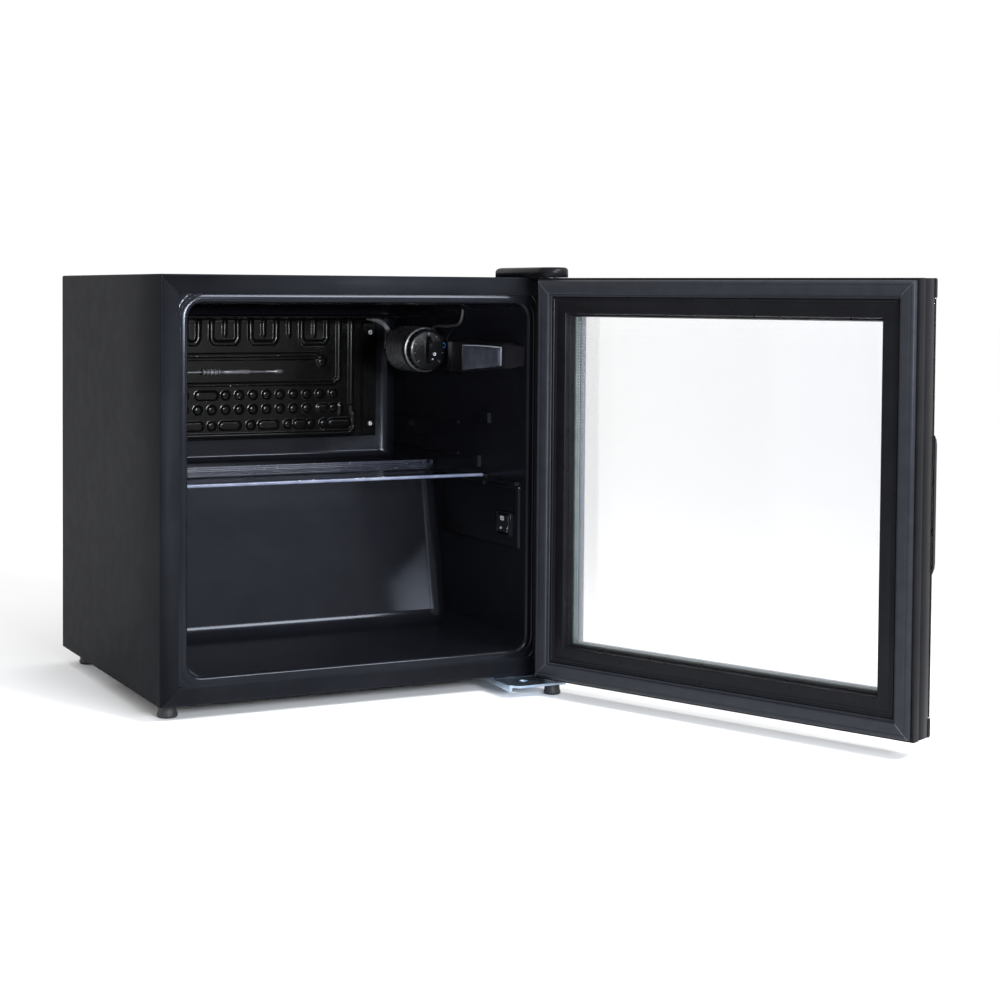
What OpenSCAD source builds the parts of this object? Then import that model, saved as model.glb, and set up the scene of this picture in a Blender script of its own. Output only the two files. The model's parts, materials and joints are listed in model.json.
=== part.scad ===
// Countertop glass-door cooler, built as separate pieces.
// Origin: centre of the cabinet's footprint, on the plane under the feet. +Z up, front face towards -Y.

/* [Cabinet] */
// Width of the steel cabinet
cab_w = 484; // [476:1:500]
// Depth of the steel cabinet, without the door
cab_d = 400; // [396:1:420]
// Height of the steel cabinet, without the feet
cab_h = 472; // [468:1:484]
// Height of the feet
foot_h = 20; // [18:0.5:24]
// Thickness of the folded steel sheet
sheet = 1; // [0.8:0.1:1.2]
// Width of the folded front flange
flange_w = 22; // [20:0.5:22]
// Height of the front rail of the base
rail_h = 20; // [18:0.5:20]

/* [Interior] */
// Width of the liner's front opening
open_w = 422; // [410:1:422]
// Height of the liner floor above the cabinet's bottom edge
floor_z = 29; // [28:0.5:31]
// Height of the ceiling at the front opening
ceil_z = 442; // [438:1:444]
// Corner radius of the liner's front opening
open_r = 18; // [12:1:22]
// Depth of the upper compartment
int_d = 362; // [356:1:364]
// How far each side wall leans in from front to back
side_draft = 12; // [8:1:14]
// Height of the ledge over the compressor
ledge_z = 228; // [226:1:229]
// Wall thickness of the liner
liner_t = 2; // [1.5:0.1:2]

/* [Door] */
// Angle at which the door stands open
door_open = 113; // [0:1:120]
// Thickness of the door, without the seal and the handle
door_t = 38.5; // [38:0.5:40]
// Height of the seal in front of the inner face
seal_h = 6; // [5:0.5:6.2]
// Width of the border around the clear glass
border_w = 45; // [42:0.5:48]
// Height of the grip
grip_h = 142; // [120:1:180]

/* [Thermostat] */
// Radius of the thermostat housing's drum
drum_r = 29; // [27.5:0.5:30]
// Radius of the dial
dial_r = 27; // [25:0.5:27.5]

/* [Hidden] */
$fn = 48;
hw = cab_w / 2;
front_hw = open_w / 2;
pin_x = hw - 10;
pin_y = -27.2;
gap = 0.5;
face_y = -gap - seal_h;      // inner face of the closed door
door_z0 = 0.5;
door_z1 = cab_h - 0.5;
door_h = door_z1 - door_z0;
side_split = 12.8;           // depth of the door's inner frame
glass_u = 34;                // depth at which the outer glass starts
step_bot_y = 212;
step_top_y = 246;
comp_y0 = 240;               // front of the compressor space at the floor
comp_y1 = 274;
comp_z = 198;                // ceiling of the compressor space
evap_y = 350.5;
evap_screw_x = 163;
evap_screw_z = [278, 400];
dial_x = hw - 67;
dial_z = cab_h - 91;
comp_c = [-70, 335];

// half width of the interior at depth y
function half_w(y) = front_hw - side_draft * y / int_d;
function unit(v) = v / norm(v);
function lerp(a, b, t) = a + (b - a) * t;

// path with each inner corner replaced by a short quadratic curve of k steps
function soft(p, r, k = 4) = [for (i = [0:len(p) - 1])
    each (i == 0 || i == len(p) - 1) ? [p[i]] :
        let (a = p[i - 1], b = p[i], c = p[i + 1],
             ra = min(r, norm(a - b) * 0.48), rc = min(r, norm(c - b) * 0.48),
             s = b + unit(a - b) * ra, e = b + unit(c - b) * rc)
        [for (j = [0:k]) let (t = j / k) (1 - t) * (1 - t) * s + 2 * t * (1 - t) * b + t * t * e]];
function tang(p, i) = unit(i == 0 ? p[1] - p[0] : i == len(p) - 1 ? p[i] - p[i - 1] : unit(p[i + 1] - p[i]) + unit(p[i] - p[i - 1]));
function perp(t) = unit(cross(t, abs(t[2]) < 0.8 ? [0, 0, 1] : [1, 0, 0]));
function norms(p, i = 0, n = undef, acc = []) = i == len(p) ? acc :
    let (t = tang(p, i), m = is_undef(n) ? perp(t) : unit(n - (n * t) * t))
    norms(p, i + 1, m, concat(acc, [m]));
// round tube swept along a path
module sweep(p, r, n = 8) {
    N = norms(p);
    pts = [for (i = [0:len(p) - 1]) let (t = tang(p, i), u = N[i], v = cross(t, u))
        each [for (k = [0:n - 1]) p[i] + r * (cos(360 * k / n) * u + sin(360 * k / n) * v)]];
    m = len(p);
    polyhedron(pts, concat([[for (k = [0:n - 1]) k]], [[for (k = [n - 1:-1:0]) (m - 1) * n + k]],
        [for (i = [0:m - 2], k = [0:n - 1]) [i * n + k, (i + 1) * n + k, (i + 1) * n + (k + 1) % n, i * n + (k + 1) % n]]));
}

module at_cab() translate([0, -cab_d / 2, foot_h]) children();
module door_pose() at_cab() translate([pin_x, pin_y, 0]) rotate([0, 0, door_open]) translate([-pin_x, -pin_y, 0]) children();
// extrude a (y, z) outline along X between x0 and x1
module along_x(x0, x1) translate([x0, 0, 0]) rotate([90, 0, 90]) linear_extrude(x1 - x0) children();
// extrude an (x, z) outline along Y between y0 and y1
module along_y(y0, y1) translate([0, y1, 0]) rotate([90, 0, 0]) linear_extrude(y1 - y0) children();
module box(a, b) translate(a) cube(b - a);
module rod_y(x, z, y0, y1, r, r2 = -1) translate([x, y0, z]) rotate([-90, 0, 0]) cylinder(h = y1 - y0, r1 = r, r2 = r2 < 0 ? r : r2);
module rod_z(x, y, z0, z1, r, r2 = -1) translate([x, y, z0]) cylinder(h = z1 - z0, r1 = r, r2 = r2 < 0 ? r : r2);
module round_rect(w, z0, z1, r) {
    translate([-w / 2 + r, z0]) square([w - 2 * r, z1 - z0]);
    translate([-w / 2, z0 + r]) square([w, z1 - z0 - 2 * r]);
    for (s = [-1, 1], z = [z0 + r, z1 - r]) translate([s * (w / 2 - r), z]) circle(r);
}
// the interior space, grown outwards by t
module cavity(t, y0) {
    intersection() {
        translate([0, 0, -20]) linear_extrude(cab_h + 40)
            polygon([[-half_w(y0) - t, y0], [half_w(y0) + t, y0], [half_w(int_d) + t, int_d + t], [-half_w(int_d) - t, int_d + t]]);
        along_x(-hw, hw) polygon([[y0, floor_z - t], [step_bot_y + t, floor_z - t], [step_top_y + t, ledge_z - t],
            [int_d + t, ledge_z - t], [int_d + t, ceil_z - 8 + t], [y0, ceil_z + t]]);
        along_y(y0 - 1, int_d + t + 1) round_rect(open_w + 2 * t, floor_z - t, ceil_z + t, open_r + t);
    }
}
// a runner on a side wall: s is the side, from y0 to y1, standing p proud
module runner(s, y0, y1, z0, z1, p) translate([0, 0, z0]) linear_extrude(z1 - z0)
    polygon([[s * (half_w(y0) + 1), y0], [s * (half_w(y1) + 1), y1], [s * (half_w(y1) - p), y1], [s * (half_w(y0) - p), y0]]);
module evap_holes(r, y0, y1) for (s = [-1, 1], z = evap_screw_z) rod_y(s * evap_screw_x, z, y0, y1, r);

// ---------------------------------------------------------------- cabinet
module outer_shell() color([0.06, 0.06, 0.07]) at_cab() {
    difference() {
        along_y(0, cab_d) difference() {
            translate([-hw, 0]) square([cab_w, cab_h]);
            translate([-hw + sheet, -1]) square([cab_w - 2 * sheet, cab_h - sheet + 1]);
        }
        for (p = top_screws) rod_z(p[0], p[1], cab_h - 5, cab_h + 5, 2.5);
    }
    along_y(0, sheet) polygon([[-hw, 0], [-hw + flange_w, rail_h], [-hw + flange_w, cab_h - flange_w],
        [hw - flange_w, cab_h - flange_w], [hw - flange_w, rail_h], [hw, 0], [hw, cab_h], [-hw, cab_h]]);
}
module base_pan() color([0.08, 0.08, 0.09]) at_cab() {
    difference() {
        union() {
            along_x(-hw + sheet, hw - sheet) polygon([[sheet, 0], [comp_y0, 0], [comp_y1, comp_z - 1.2], [cab_d - 1, comp_z - 1.2],
                [cab_d - 1, comp_z], [comp_y1 - 1, comp_z], [comp_y0 - 1, 1.2], [sheet, 1.2]]);
            along_y(0, sheet) polygon([[-hw + 0.3, 0], [hw - 0.3, 0], [hw - flange_w - 0.2, rail_h], [-hw + flange_w + 0.2, rail_h]]);
            rod_z(-hw + 22, 42, 0, 10, 7);
        }
        rod_z(-hw + 22, 42, -1, 11, 3.05);
        rod_z(0, 345, comp_z - 5, comp_z + 5, 7.3);
        rod_z(200, 370, comp_z - 5, comp_z + 5, 3.6);
        rod_z(150, 382, comp_z - 5, comp_z + 5, 4.4);
        rod_z(118, 382, comp_z - 5, comp_z + 5, 2);
        for (p = bottom_screws) rod_z(p[0], p[1], -1, 5, 2.5);
    }
}
module back_panel() color([0.10, 0.10, 0.11]) at_cab()
    difference() {
        box([-hw + sheet, cab_d - 1, comp_z - 1.2], [hw - sheet, cab_d, cab_h - sheet]);
        for (s = [-1, 1], z = [230, 440]) rod_y(s * 225, z, cab_d - 2, cab_d + 1, 2.1);
    }
module foam_insulation() color([0.85, 0.78, 0.5]) at_cab()
    difference() {
        box([-hw + sheet, 3, 1.2], [hw - sheet, cab_d - 1, cab_h - sheet]);
        cavity(liner_t, 1);
        along_x(-hw, hw) polygon([[comp_y0 - 1, -1], [comp_y0 - 1, 1.2], [comp_y1 - 1, comp_z], [cab_d + 1, comp_z], [cab_d + 1, -1]]);
        rod_z(-hw + 22, 42, 0, 22, 7);
        rod_z(0, 345, comp_z - 5, ledge_z + 1, 7);
        evap_holes(1.5, int_d, int_d + 10);
        for (p = bottom_screws) rod_z(p[0], p[1], 0, 12, 2.5);
        for (p = top_screws) rod_z(p[0], p[1], cab_h - 14, cab_h, 2.5);
    }
module inner_liner() color([0.03, 0.03, 0.035]) at_cab()
    difference() {
        union() {
            cavity(liner_t, 1);
            along_y(sheet, sheet + 2) round_rect(cab_w - 2 * flange_w + 8, rail_h - 4, cab_h - flange_w + 4, 6);
        }
        difference() {
            cavity(0, -2);
            for (s = [-1, 1]) {
                runner(s, s > 0 ? 16 : 40, 240, ledge_z - 5, ledge_z, 6);
                runner(s, 165, 340, 250, 253, 3);
                runner(s, 111, 125, 239, 253, 4.5);
                runner(s, 165, 335, 289, 292, 3);
                runner(s, 87, 112, 295, 307, 4.5);
            }
        }
        along_x(-165, 165) polygon([[58, floor_z - 0.9], [62.5, floor_z - 0.9], [62.5, floor_z + 1], [58, floor_z + 1]]);
        rod_z(0, 345, ledge_z - 5, ledge_z + 2, 7);
        evap_holes(1.5, int_d - 1, int_d + 5);
    }

// ---------------------------------------------------------------- evaporator
module evaporator_plate() color([0.05, 0.05, 0.06]) at_cab()
    difference() {
        union() {
            along_x(-172, 172) {
                translate([evap_y, 262]) square([1.5, 150]);
                intersection() {
                    translate([evap_y + 1.5 - 12, 412]) difference() { circle(12); circle(10.5); }
                    translate([evap_y + 1.5 - 12, 412]) square([20, 20]);
                }
                translate([200, 412 + 10.5]) square([evap_y + 1.5 - 12 - 200, 1.5]);
            }
            for (i = [0:15]) rod_z(-129 + 17.2 * i, evap_y + 0.4, 386, 412, 2.2);
            for (z = [333, 371]) translate([-138, evap_y + 0.4, z]) rotate([0, 90, 0]) cylinder(h = 250, r = 1.8);
            for (z = [279, 299.5, 319], i = [0:13]) translate([-121 + 18.8 * i, evap_y, z]) rotate([90, 0, 0]) cylinder(h = 1.6, r1 = 5.2, r2 = 3.4);
        }
        evap_holes(1.8, evap_y - 5, evap_y + 5);
    }
module evaporator_spacers() color([0.1, 0.1, 0.1]) at_cab()
    difference() {
        for (s = [-1, 1], z = evap_screw_z) rod_y(s * evap_screw_x, z, evap_y + 1.55, int_d - 0.05, 6);
        evap_holes(1.8, evap_y, int_d + 1);
    }
module evaporator_screws() color([0.75, 0.75, 0.77]) at_cab()
    for (s = [-1, 1], z = evap_screw_z) difference() {
        union() {
            rod_y(s * evap_screw_x, z, evap_y - 0.05 - 2.2, evap_y - 0.05, 2.6, 4);
            rod_y(s * evap_screw_x, z, evap_y - 0.1, int_d + 9, 1.45);
        }
        box([s * evap_screw_x - 0.5, evap_y - 3, z - 2.2], [s * evap_screw_x + 0.5, evap_y - 1.2, z + 2.2]);
        box([s * evap_screw_x - 2.2, evap_y - 3, z - 0.5], [s * evap_screw_x + 2.2, evap_y - 1.2, z + 0.5]);
    }

// ---------------------------------------------------------------- thermostat, lamp and switch
box_x = front_hw - 16;
function lens_outline(e) = [[36 + e, dial_z - 15 + e], [140 - e, dial_z - 24 + e], [140 - e, dial_z + 8 - e], [36 + e, dial_z + 8 - e]];
module wall_pad(y0, y1, z0, z1, x0) translate([0, 0, z0]) linear_extrude(z1 - z0)
    polygon([[x0, y0], [half_w(y0) - 0.15, y0], [half_w(y1) - 0.15, y1], [x0, y1]]);
module thermostat_housing() color([0.04, 0.04, 0.045]) at_cab()
    difference() {
        union() {
            intersection() {
                union() {
                    rod_y(dial_x, dial_z, 206, 272, drum_r);
                    box([dial_x + 8, 206, dial_z - 19], [dial_x + 40, 272, dial_z + 19]);
                }
                wall_pad(190, 290, dial_z - 50, dial_z + 50, dial_x - 60);
            }
            // lamp housing on the wall: deeper at the back, running out into the wall at the front
            intersection() {
                translate([0, 0, dial_z - 40]) linear_extrude(70)
                    polygon([[half_w(8) - 1.5, 8], [half_w(8) - 0.15, 8], [half_w(184) - 0.15, 184], [box_x, 184], [box_x, 34]]);
                along_x(0, hw) polygon([[7, dial_z - 14], [36, dial_z - 19], [146, dial_z - 28], [186, dial_z - 28],
                    [186, dial_z + 13], [36, dial_z + 13], [7, dial_z + 9]]);
            }
            translate([0, 0, dial_z - 17]) linear_extrude(28)
                polygon([[half_w(180) - 1.4, 180], [half_w(180) - 0.15, 180], [half_w(210) - 0.15, 210], [half_w(210) - 1.4, 210]]);
        }
        rod_y(dial_x, dial_z, 208, 270, drum_r - 3.5);
        rod_y(dial_x, dial_z, 204, 209, 5);
        for (i = [0:10]) box([dial_x - 40, 216 + 4.4 * i, dial_z - 24], [dial_x - 12, 217.6 + 4.4 * i, dial_z + 2]);
        along_x(box_x - 1, box_x + 3) polygon(lens_outline(0));
        translate([0, 0, dial_z - 22]) linear_extrude(29)
            polygon([[box_x + 2, 44], [half_w(44) - 1.8, 44], [half_w(138) - 1.8, 138], [box_x + 2, 138]]);
        rod_y(dial_x - 10, dial_z + 15, 268, 274, 3.4);
        translate([dial_x + 17, 224, dial_z + 12]) cylinder(h = 30, r = 2);
    }
module thermostat_unit() color([0.7, 0.7, 0.72]) at_cab()
    difference() {
        union() {
            box([dial_x - 17, 216, dial_z - 17], [dial_x + 17, 244, dial_z + 12]);
            rod_y(dial_x, dial_z, 209.5, 217, 6);
            rod_y(dial_x - 10, dial_z + 5, 243, 252, 4);
        }
        rod_y(dial_x, dial_z, 209, 232, 3.07);
    }
module thermostat_shaft() color([0.8, 0.8, 0.82]) at_cab()
    difference() {
        rod_y(dial_x, dial_z, 199, 231, 3);
        box([dial_x - 4, 198, dial_z + 1.8], [dial_x + 4, 207.9, dial_z + 4]);
    }
module thermostat_knob() color([0.05, 0.05, 0.055]) at_cab()
    difference() {
        union() {
            rod_y(dial_x, dial_z, 196.5, 205.4, dial_r);
            rod_y(dial_x, dial_z, 195, 196.6, dial_r - 3, dial_r - 1);
            box([dial_x - 4, 188, dial_z - 17], [dial_x + 4, 196, dial_z + 17]);
        }
        rod_y(dial_x, dial_z, 199, 206, 3);
        rod_y(dial_x, dial_z, 202, 206, dial_r - 3);
        for (a = [0:15:345]) translate([dial_x + (dial_r + 0.6) * cos(a), 195, dial_z + (dial_r + 0.6) * sin(a)]) rotate([-90, 0, 0]) cylinder(h = 12, r = 1.5, $fn = 16);
    }
module thermostat_capillary() color([0.3, 0.3, 0.32]) at_cab()
    sweep(soft([[dial_x - 10, 254, dial_z + 15], [dial_x - 10, 288, dial_z + 17], [dial_x - 17, 298, dial_z + 34], [dial_x - 31, 316, dial_z + 39]], 14), 3.2);
module lamp_lead() color([0.1, 0.1, 0.1]) at_cab()
    sweep(soft([[dial_x + 17, 224, dial_z + 14], [dial_x + 17, 222, dial_z + 30], [dial_x + 23, 178, dial_z + 30], [dial_x + 26, 156, dial_z + 34], [dial_x + 26, 150, dial_z + 57]], 16), 1.8);
module led_board() color([0.1, 0.35, 0.15]) at_cab() {
    box([box_x + 5, 46, dial_z - 14], [box_x + 6.6, 136, dial_z + 5]);
    for (i = [0:5]) box([box_x + 4, 52 + 14.4 * i, dial_z - 7], [box_x + 5.1, 56 + 14.4 * i, dial_z - 3]);
}
module lamp_lens() color([0.85, 0.88, 0.92]) at_cab()
    along_x(box_x - 1.2, box_x + 1.9) polygon(lens_outline(0.1));
sw_y0 = 30;
sw_y1 = 60;
sw_z = 175.5;
module switch_cover() color([0.04, 0.04, 0.045]) at_cab()
    difference() {
        union() {
            translate([0, 0, 148]) linear_extrude(ledge_z - 5.3 - 148)
                polygon([[half_w(14) - 4, 16], [half_w(14) - 0.15, 14], [half_w(206) - 0.15, 206], [half_w(206) - 4, 206]]);
            translate([0, 0, sw_z - 14.5]) linear_extrude(29)
                polygon([[half_w(27) - 7, sw_y0 - 3], [half_w(27) - 3, sw_y0 - 4], [half_w(63) - 3, sw_y1 + 4], [half_w(63) - 7, sw_y1 + 3]]);
        }
        box([half_w(40) - 12, sw_y0 - 0.4, sw_z - 12.4], [half_w(40) + 5, sw_y1 + 0.4, sw_z + 12.4]);
        rod_y(half_w(45) - 3.5, sw_z, sw_y0 - 2, sw_y1 + 2, 1);
    }
module light_switch_rocker() color([0.85, 0.85, 0.87]) at_cab()
    translate([half_w(45) - 3.5, 0, sw_z]) rotate([0, 7, 0]) difference() {
        along_y(sw_y0, sw_y1) polygon([[-5.4, -10.6], [-3.6, 0], [-5.4, 10.6], [0.6, 10.6], [2, 3], [2, -3], [0.6, -10.6]]);
        rod_y(0, 0, sw_y0 - 1, sw_y1 + 1, 1.05);
    }
module switch_pivot_pin() color([0.7, 0.7, 0.72]) at_cab()
    rod_y(half_w(45) - 3.5, sw_z, sw_y0 - 1.8, sw_y1 + 1.8, 0.98);

// ---------------------------------------------------------------- shelf
module glass_shelf() color([0.7, 0.85, 0.85, 0.5]) at_cab() translate([0, 0, ledge_z + 0.2]) linear_extrude(4)
    polygon([[-half_w(95) + 1.6, 95], [half_w(95) - 1.6, 95], [half_w(95) - 1.6 - 4.7, 238], [-half_w(95) + 1.6 + 4.7, 238]]);
module shelf_rear_trim() color([0.75, 0.78, 0.82]) at_cab() along_x(-195.4, 195.4)
    polygon([[231, ledge_z - 2], [243, ledge_z - 2], [243, ledge_z + 9], [241.5, ledge_z + 9.5], [239.6, ledge_z + 9.5], [239.6, ledge_z + 6], [231, ledge_z + 5.6],
        [231, ledge_z + 4.25], [238.1, ledge_z + 4.25], [238.1, ledge_z + 0.15], [231, ledge_z + 0.15]]);
module shelf_end_caps() color([0.85, 0.87, 0.9]) at_cab() for (s = [-1, 1]) scale([s, 1, 1])
    difference() {
        box([195.5, 230, ledge_z + 0.4], [199.5, 243.5, ledge_z + 9.8]);
        box([195, 229, ledge_z - 1], [198, 238.2, ledge_z + 4.3]);
        box([197.8, 229, ledge_z - 1], [203, 238.2, ledge_z + 4.3]);
    }

// ---------------------------------------------------------------- compressor space
module compressor_plate() color([0.6, 0.61, 0.63]) at_cab()
    difference() {
        union() {
            box([-hw + sheet, comp_y0 + 2, 0], [hw - sheet, cab_d - 1, 1.5]);
            box([-hw + sheet, cab_d - 2.5, 0], [hw - sheet, cab_d - 1, 26]);
        }
        for (sx = [-60, 60], sy = [-42, 42]) rod_z(comp_c[0] + sx, comp_c[1] + sy, -1, 3, 3.2);
        rod_y(150, 14, cab_d - 4, cab_d, 6.5);
        for (s = [-1, 1]) rod_z(s * (hw - 27), cab_d - 25, -1, 3, 2.5);
    }
module compressor() color([0.05, 0.05, 0.05]) at_cab() translate([comp_c[0], comp_c[1], 0])
    difference() {
        union() {
            rotate_extrude() polygon(concat([[0, 17], [30, 17], [46, 22], [57, 34], [59, 44], [59, 84], [62, 84], [62, 88], [59, 88], [59, 118]],
                [for (a = [15:15:75]) [29 + 30 * cos(a), 118 + 34 * sin(a)]], [[29, 152], [0, 154]]));
            box([-72, -50, 12], [72, 50, 17.5]);
            translate([40, -22, 96]) rotate([0, 90, -30]) cylinder(h = 26, r = 4);
            translate([30, 30, 150]) cylinder(h = 8, r = 3.5);
        }
        for (sx = [-60, 60], sy = [-42, 42]) rod_z(sx, sy, 11, 19, 3.2);
        rotate_extrude() polygon([[0, 10], [24, 10], [24, 26], [40, 30], [50, 40], [51, 116], [44, 130], [27, 143], [0, 145]]);
    }
module compressor_grommets() color([0.12, 0.12, 0.12]) at_cab()
    for (sx = [-60, 60], sy = [-42, 42]) translate([comp_c[0] + sx, comp_c[1] + sy, 0]) difference() {
        union() {
            rod_z(0, 0, 1.55, 11.95, 8);
        }
        rod_z(0, 0, 0, 13, 3.2);
    }
module compressor_bolts() color([0.8, 0.78, 0.6]) at_cab()
    for (sx = [-60, 60], sy = [-42, 42]) translate([comp_c[0] + sx, comp_c[1] + sy, 0]) {
        rod_z(0, 0, -2.5, 18, 3);
        rod_z(0, 0, 17.6, 19, 7);
        translate([0, 0, 19]) cylinder(h = 4.5, r = 5.4, $fn = 6);
    }
module relay_cover() color([0.07, 0.07, 0.07]) at_cab()
    difference() {
        along_y(316, 356) polygon([[-9.5, 62], [16, 62], [20, 66], [20, 108], [14, 114], [-9.5, 114]]);
        translate([comp_c[0], comp_c[1], 0]) rod_z(0, 0, 40, 130, 62.3);
    }
module filter_drier() color([0.72, 0.43, 0.28]) at_cab() {
    rod_z(70, 368, 50, 120, 9);
    rod_z(70, 368, 119.9, 132, 9, 3);
    rod_z(70, 368, 38, 50.1, 2.6, 9);
    rod_z(70, 368, 131.9, 140, 3);
}
module discharge_tube() color([0.72, 0.43, 0.28]) at_cab()
    sweep(soft([[-40, 365, 158.1], [-40, 365, 190], [-10, 370, 190], [100, 370, 189], [200, 370, 184], [200, 370, 214], [226, 368, 226]], 14), 2.6);
module suction_tube() color([0.72, 0.43, 0.28]) at_cab()
    sweep(soft([[-11, 298.4, 96.1], [24, 291, 96], [110, 296, 96], [150, 340, 104], [150, 382, 130], [150, 382, 300], [130, 382, 400]], 18), 3.6);
function coil(c, r, z0, pitch, a0, turns, k) = [for (i = [0:turns * k]) [c[0] + r * cos(a0 + 360 * i / k), c[1] + r * sin(a0 + 360 * i / k), z0 + pitch * i / k]];
module capillary_tube() color([0.75, 0.47, 0.3]) at_cab()
    sweep(concat([[70, 368, 141], [70, 368, 146], [76, 362, 150]], [[92, 352, 151]], coil([118, 325], 22, 152, 3.4, 130, 3, 14), [[98, 344, 166], [106, 352, 172], [118, 374, 178], [118, 382, 186], [118, 382, 206], [118, 382, 300]]), 1.2, 6);
cond_z = [250, 285, 320, 355, 390, 425];
module condenser_tube() color([0.35, 0.33, 0.32]) at_cab() {
    cx = hw - sheet - 3;
    run = [for (i = [0:5]) each (i % 2 == 0 ? [[cx, 368, cond_z[i]], [cx, 40, cond_z[i]]] : [[cx, 40, cond_z[i]], [cx, 368, cond_z[i]]])];
    over = [[cx, 368, 460], [-cx, 368, 460]];
    back = [for (i = [5:-1:0]) each (i % 2 == 1 ? [[-cx, 368, cond_z[i]], [-cx, 40, cond_z[i]]] : [[-cx, 40, cond_z[i]], [-cx, 368, cond_z[i]]])];
    sweep(soft(concat([[226.2, 368, 226.2], [cx, 368, 232]], [for (i = [1:len(run) - 1]) run[i]], over, back, [[-cx, 368, 232], [-200, 372, 222]]), 12, 3), 2.4, 6);
}
module drain_spout() color([0.8, 0.8, 0.8]) at_cab()
    difference() {
        union() {
            rod_z(0, 345, 188, ledge_z + 0.1, 6.95);
            rod_z(0, 345, ledge_z + 0.05, ledge_z + 1.2, 11, 10);
        }
        rod_z(0, 345, 180, ledge_z + 3, 5);
    }
module evaporation_tray() color([0.15, 0.15, 0.16]) at_cab()
    difference() {
        along_x(-140, 16) polygon([[284, 163], [390, 163], [394, 184], [280, 184]]);
        along_x(-138, 14) polygon([[286, 165], [388, 165], [392, 186], [282, 186]]);
        translate([-40, 365, 150]) cylinder(h = 40, r = 5);
    }
module mains_inlet_gland() color([0.06, 0.06, 0.06]) at_cab()
    difference() {
        union() {
            rod_y(150, 14, cab_d - 4.5, cab_d, 6.4);
            rod_y(150, 14, cab_d - 5.5, cab_d - 2.6, 9);
            rod_y(150, 14, cab_d - 0.9, cab_d, 8.5, 7.5);
        }
        rod_y(150, 14, cab_d - 8, cab_d + 3, 4);
    }

// ---------------------------------------------------------------- feet
module rear_feet() color([0.05, 0.05, 0.05]) at_cab() for (s = [-1, 1]) translate([s * (hw - 27), cab_d - 25, 0]) {
    rod_z(0, 0, -foot_h, -foot_h + 3, 11, 12);
    rod_z(0, 0, -foot_h + 3, -0.05, 12, 11);
    rod_z(0, 0, -0.1, 1.4, 2.45);
}
module front_left_foot() color([0.05, 0.05, 0.05]) at_cab() translate([-hw + 22, 42, 0]) {
    rod_z(0, 0, -foot_h, -foot_h + 2, 10.5, 11.5);
    rod_z(0, 0, -foot_h + 2, -foot_h + 5, 11.5);
    rod_z(0, 0, -foot_h + 5, -0.6, 11.2, 10.4);
    rod_z(0, 0, -1, 16, 3);
}
module bracket_foot() color([0.05, 0.05, 0.05]) at_cab() translate([pin_x, pin_y, 0])
    difference() {
        union() {
            rod_z(0, 0, -foot_h, -foot_h + 1.5, 9.2, 10);
            rod_z(0, 0, -foot_h + 1.5, -foot_h + 4.5, 10);
            rod_z(0, 0, -foot_h + 4.5, -6.4, 9.6, 8.8);
        }
        rod_z(0, 0, -foot_h + 3, 0, 3.05);
    }

// ---------------------------------------------------------------- hinges
top_screws = [[hw - 27, 22], [hw - 11, 22], [hw - 19, 58]];
bottom_screws = [[hw - 58, 22], [hw - 22, 22], [hw - 40, 48]];
module top_hinge_bracket() color([0.6, 0.61, 0.63]) at_cab() translate([0, 0, cab_h])
    linear_extrude(2.5) difference() {
        union() {
            translate([hw - 33, 4]) square([29, 68]);
            polygon([[hw - 30, 6], [pin_x - 9, pin_y], [pin_x + 9, pin_y], [hw - 4, 6]]);
            translate([pin_x, pin_y]) circle(9);
        }
        translate([pin_x, pin_y]) circle(3.02);
        for (p = top_screws) translate(p) circle(2.6);
    }
module top_hinge_pin() color([0.8, 0.8, 0.82]) at_cab() {
    rod_z(pin_x, pin_y, cab_h - 17, cab_h + 3, 3);
    rod_z(pin_x, pin_y, cab_h + 2.55, cab_h + 5, 5, 4);
}
module screw_down(p, z, len, head) translate([p[0], p[1], z]) difference() {
    union() {
        rod_z(0, 0, 0.05, head, 4.6, 3.6);
        rod_z(0, 0, -len, 0.1, 2.4);
    }
    box([-2.6, -0.5, head - 1.1], [2.6, 0.5, head + 1]);
    box([-0.5, -2.6, head - 1.1], [0.5, 2.6, head + 1]);
}
module top_hinge_screws() color([0.8, 0.8, 0.82]) at_cab() for (p = top_screws) screw_down(p, cab_h + 2.5, 14, 2.6);
module cover_outline(d) {
    r = 19 - d;
    translate([hw - 16, -29]) circle(r);
    translate([hw - 16 - r, -29]) square([2 * r, 79 + 29 - d]);
}
module top_hinge_cover() color([0.05, 0.05, 0.05]) at_cab() translate([0, 0, cab_h])
    difference() {
        union() {
            translate([0, 0, 0.1]) linear_extrude(9.4) cover_outline(0);
            translate([0, 0, 9.4]) linear_extrude(1.4) cover_outline(1.2);
            translate([0, 0, 10.7]) linear_extrude(1.3) cover_outline(2.8);
        }
        translate([0, 0, -1]) linear_extrude(11) cover_outline(2);
        translate([hw - 60, 79, 12]) rotate([45, 0, 0]) cube([80, 12, 6], center = false);
    }
module bottom_hinge_bracket() color([0.72, 0.75, 0.8]) at_cab()
    difference() {
        union() {
            along_x(hw - 70, hw - 2) polygon([[62, 0], [4, 0], [-1, -3], [-46, -3], [-46, -6], [1, -6], [5, -3], [62, -3]]);
            along_x(hw - 73, hw - 69.9) polygon([[62, 0], [4, 0], [-1, -3], [-46, -3], [-46, -8], [-36, -11], [8, -9], [62, -3]]);
        }
        rod_z(pin_x, pin_y, -8, 0, 4);
        for (p = bottom_screws) rod_z(p[0], p[1], -8, 2, 2.6);
        translate([hw - 72, -47, -7]) rotate([0, 0, 45]) cube([14, 14, 20], center = true);
        rod_z(hw - 45, -20, -8, 0, 5);
    }
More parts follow.
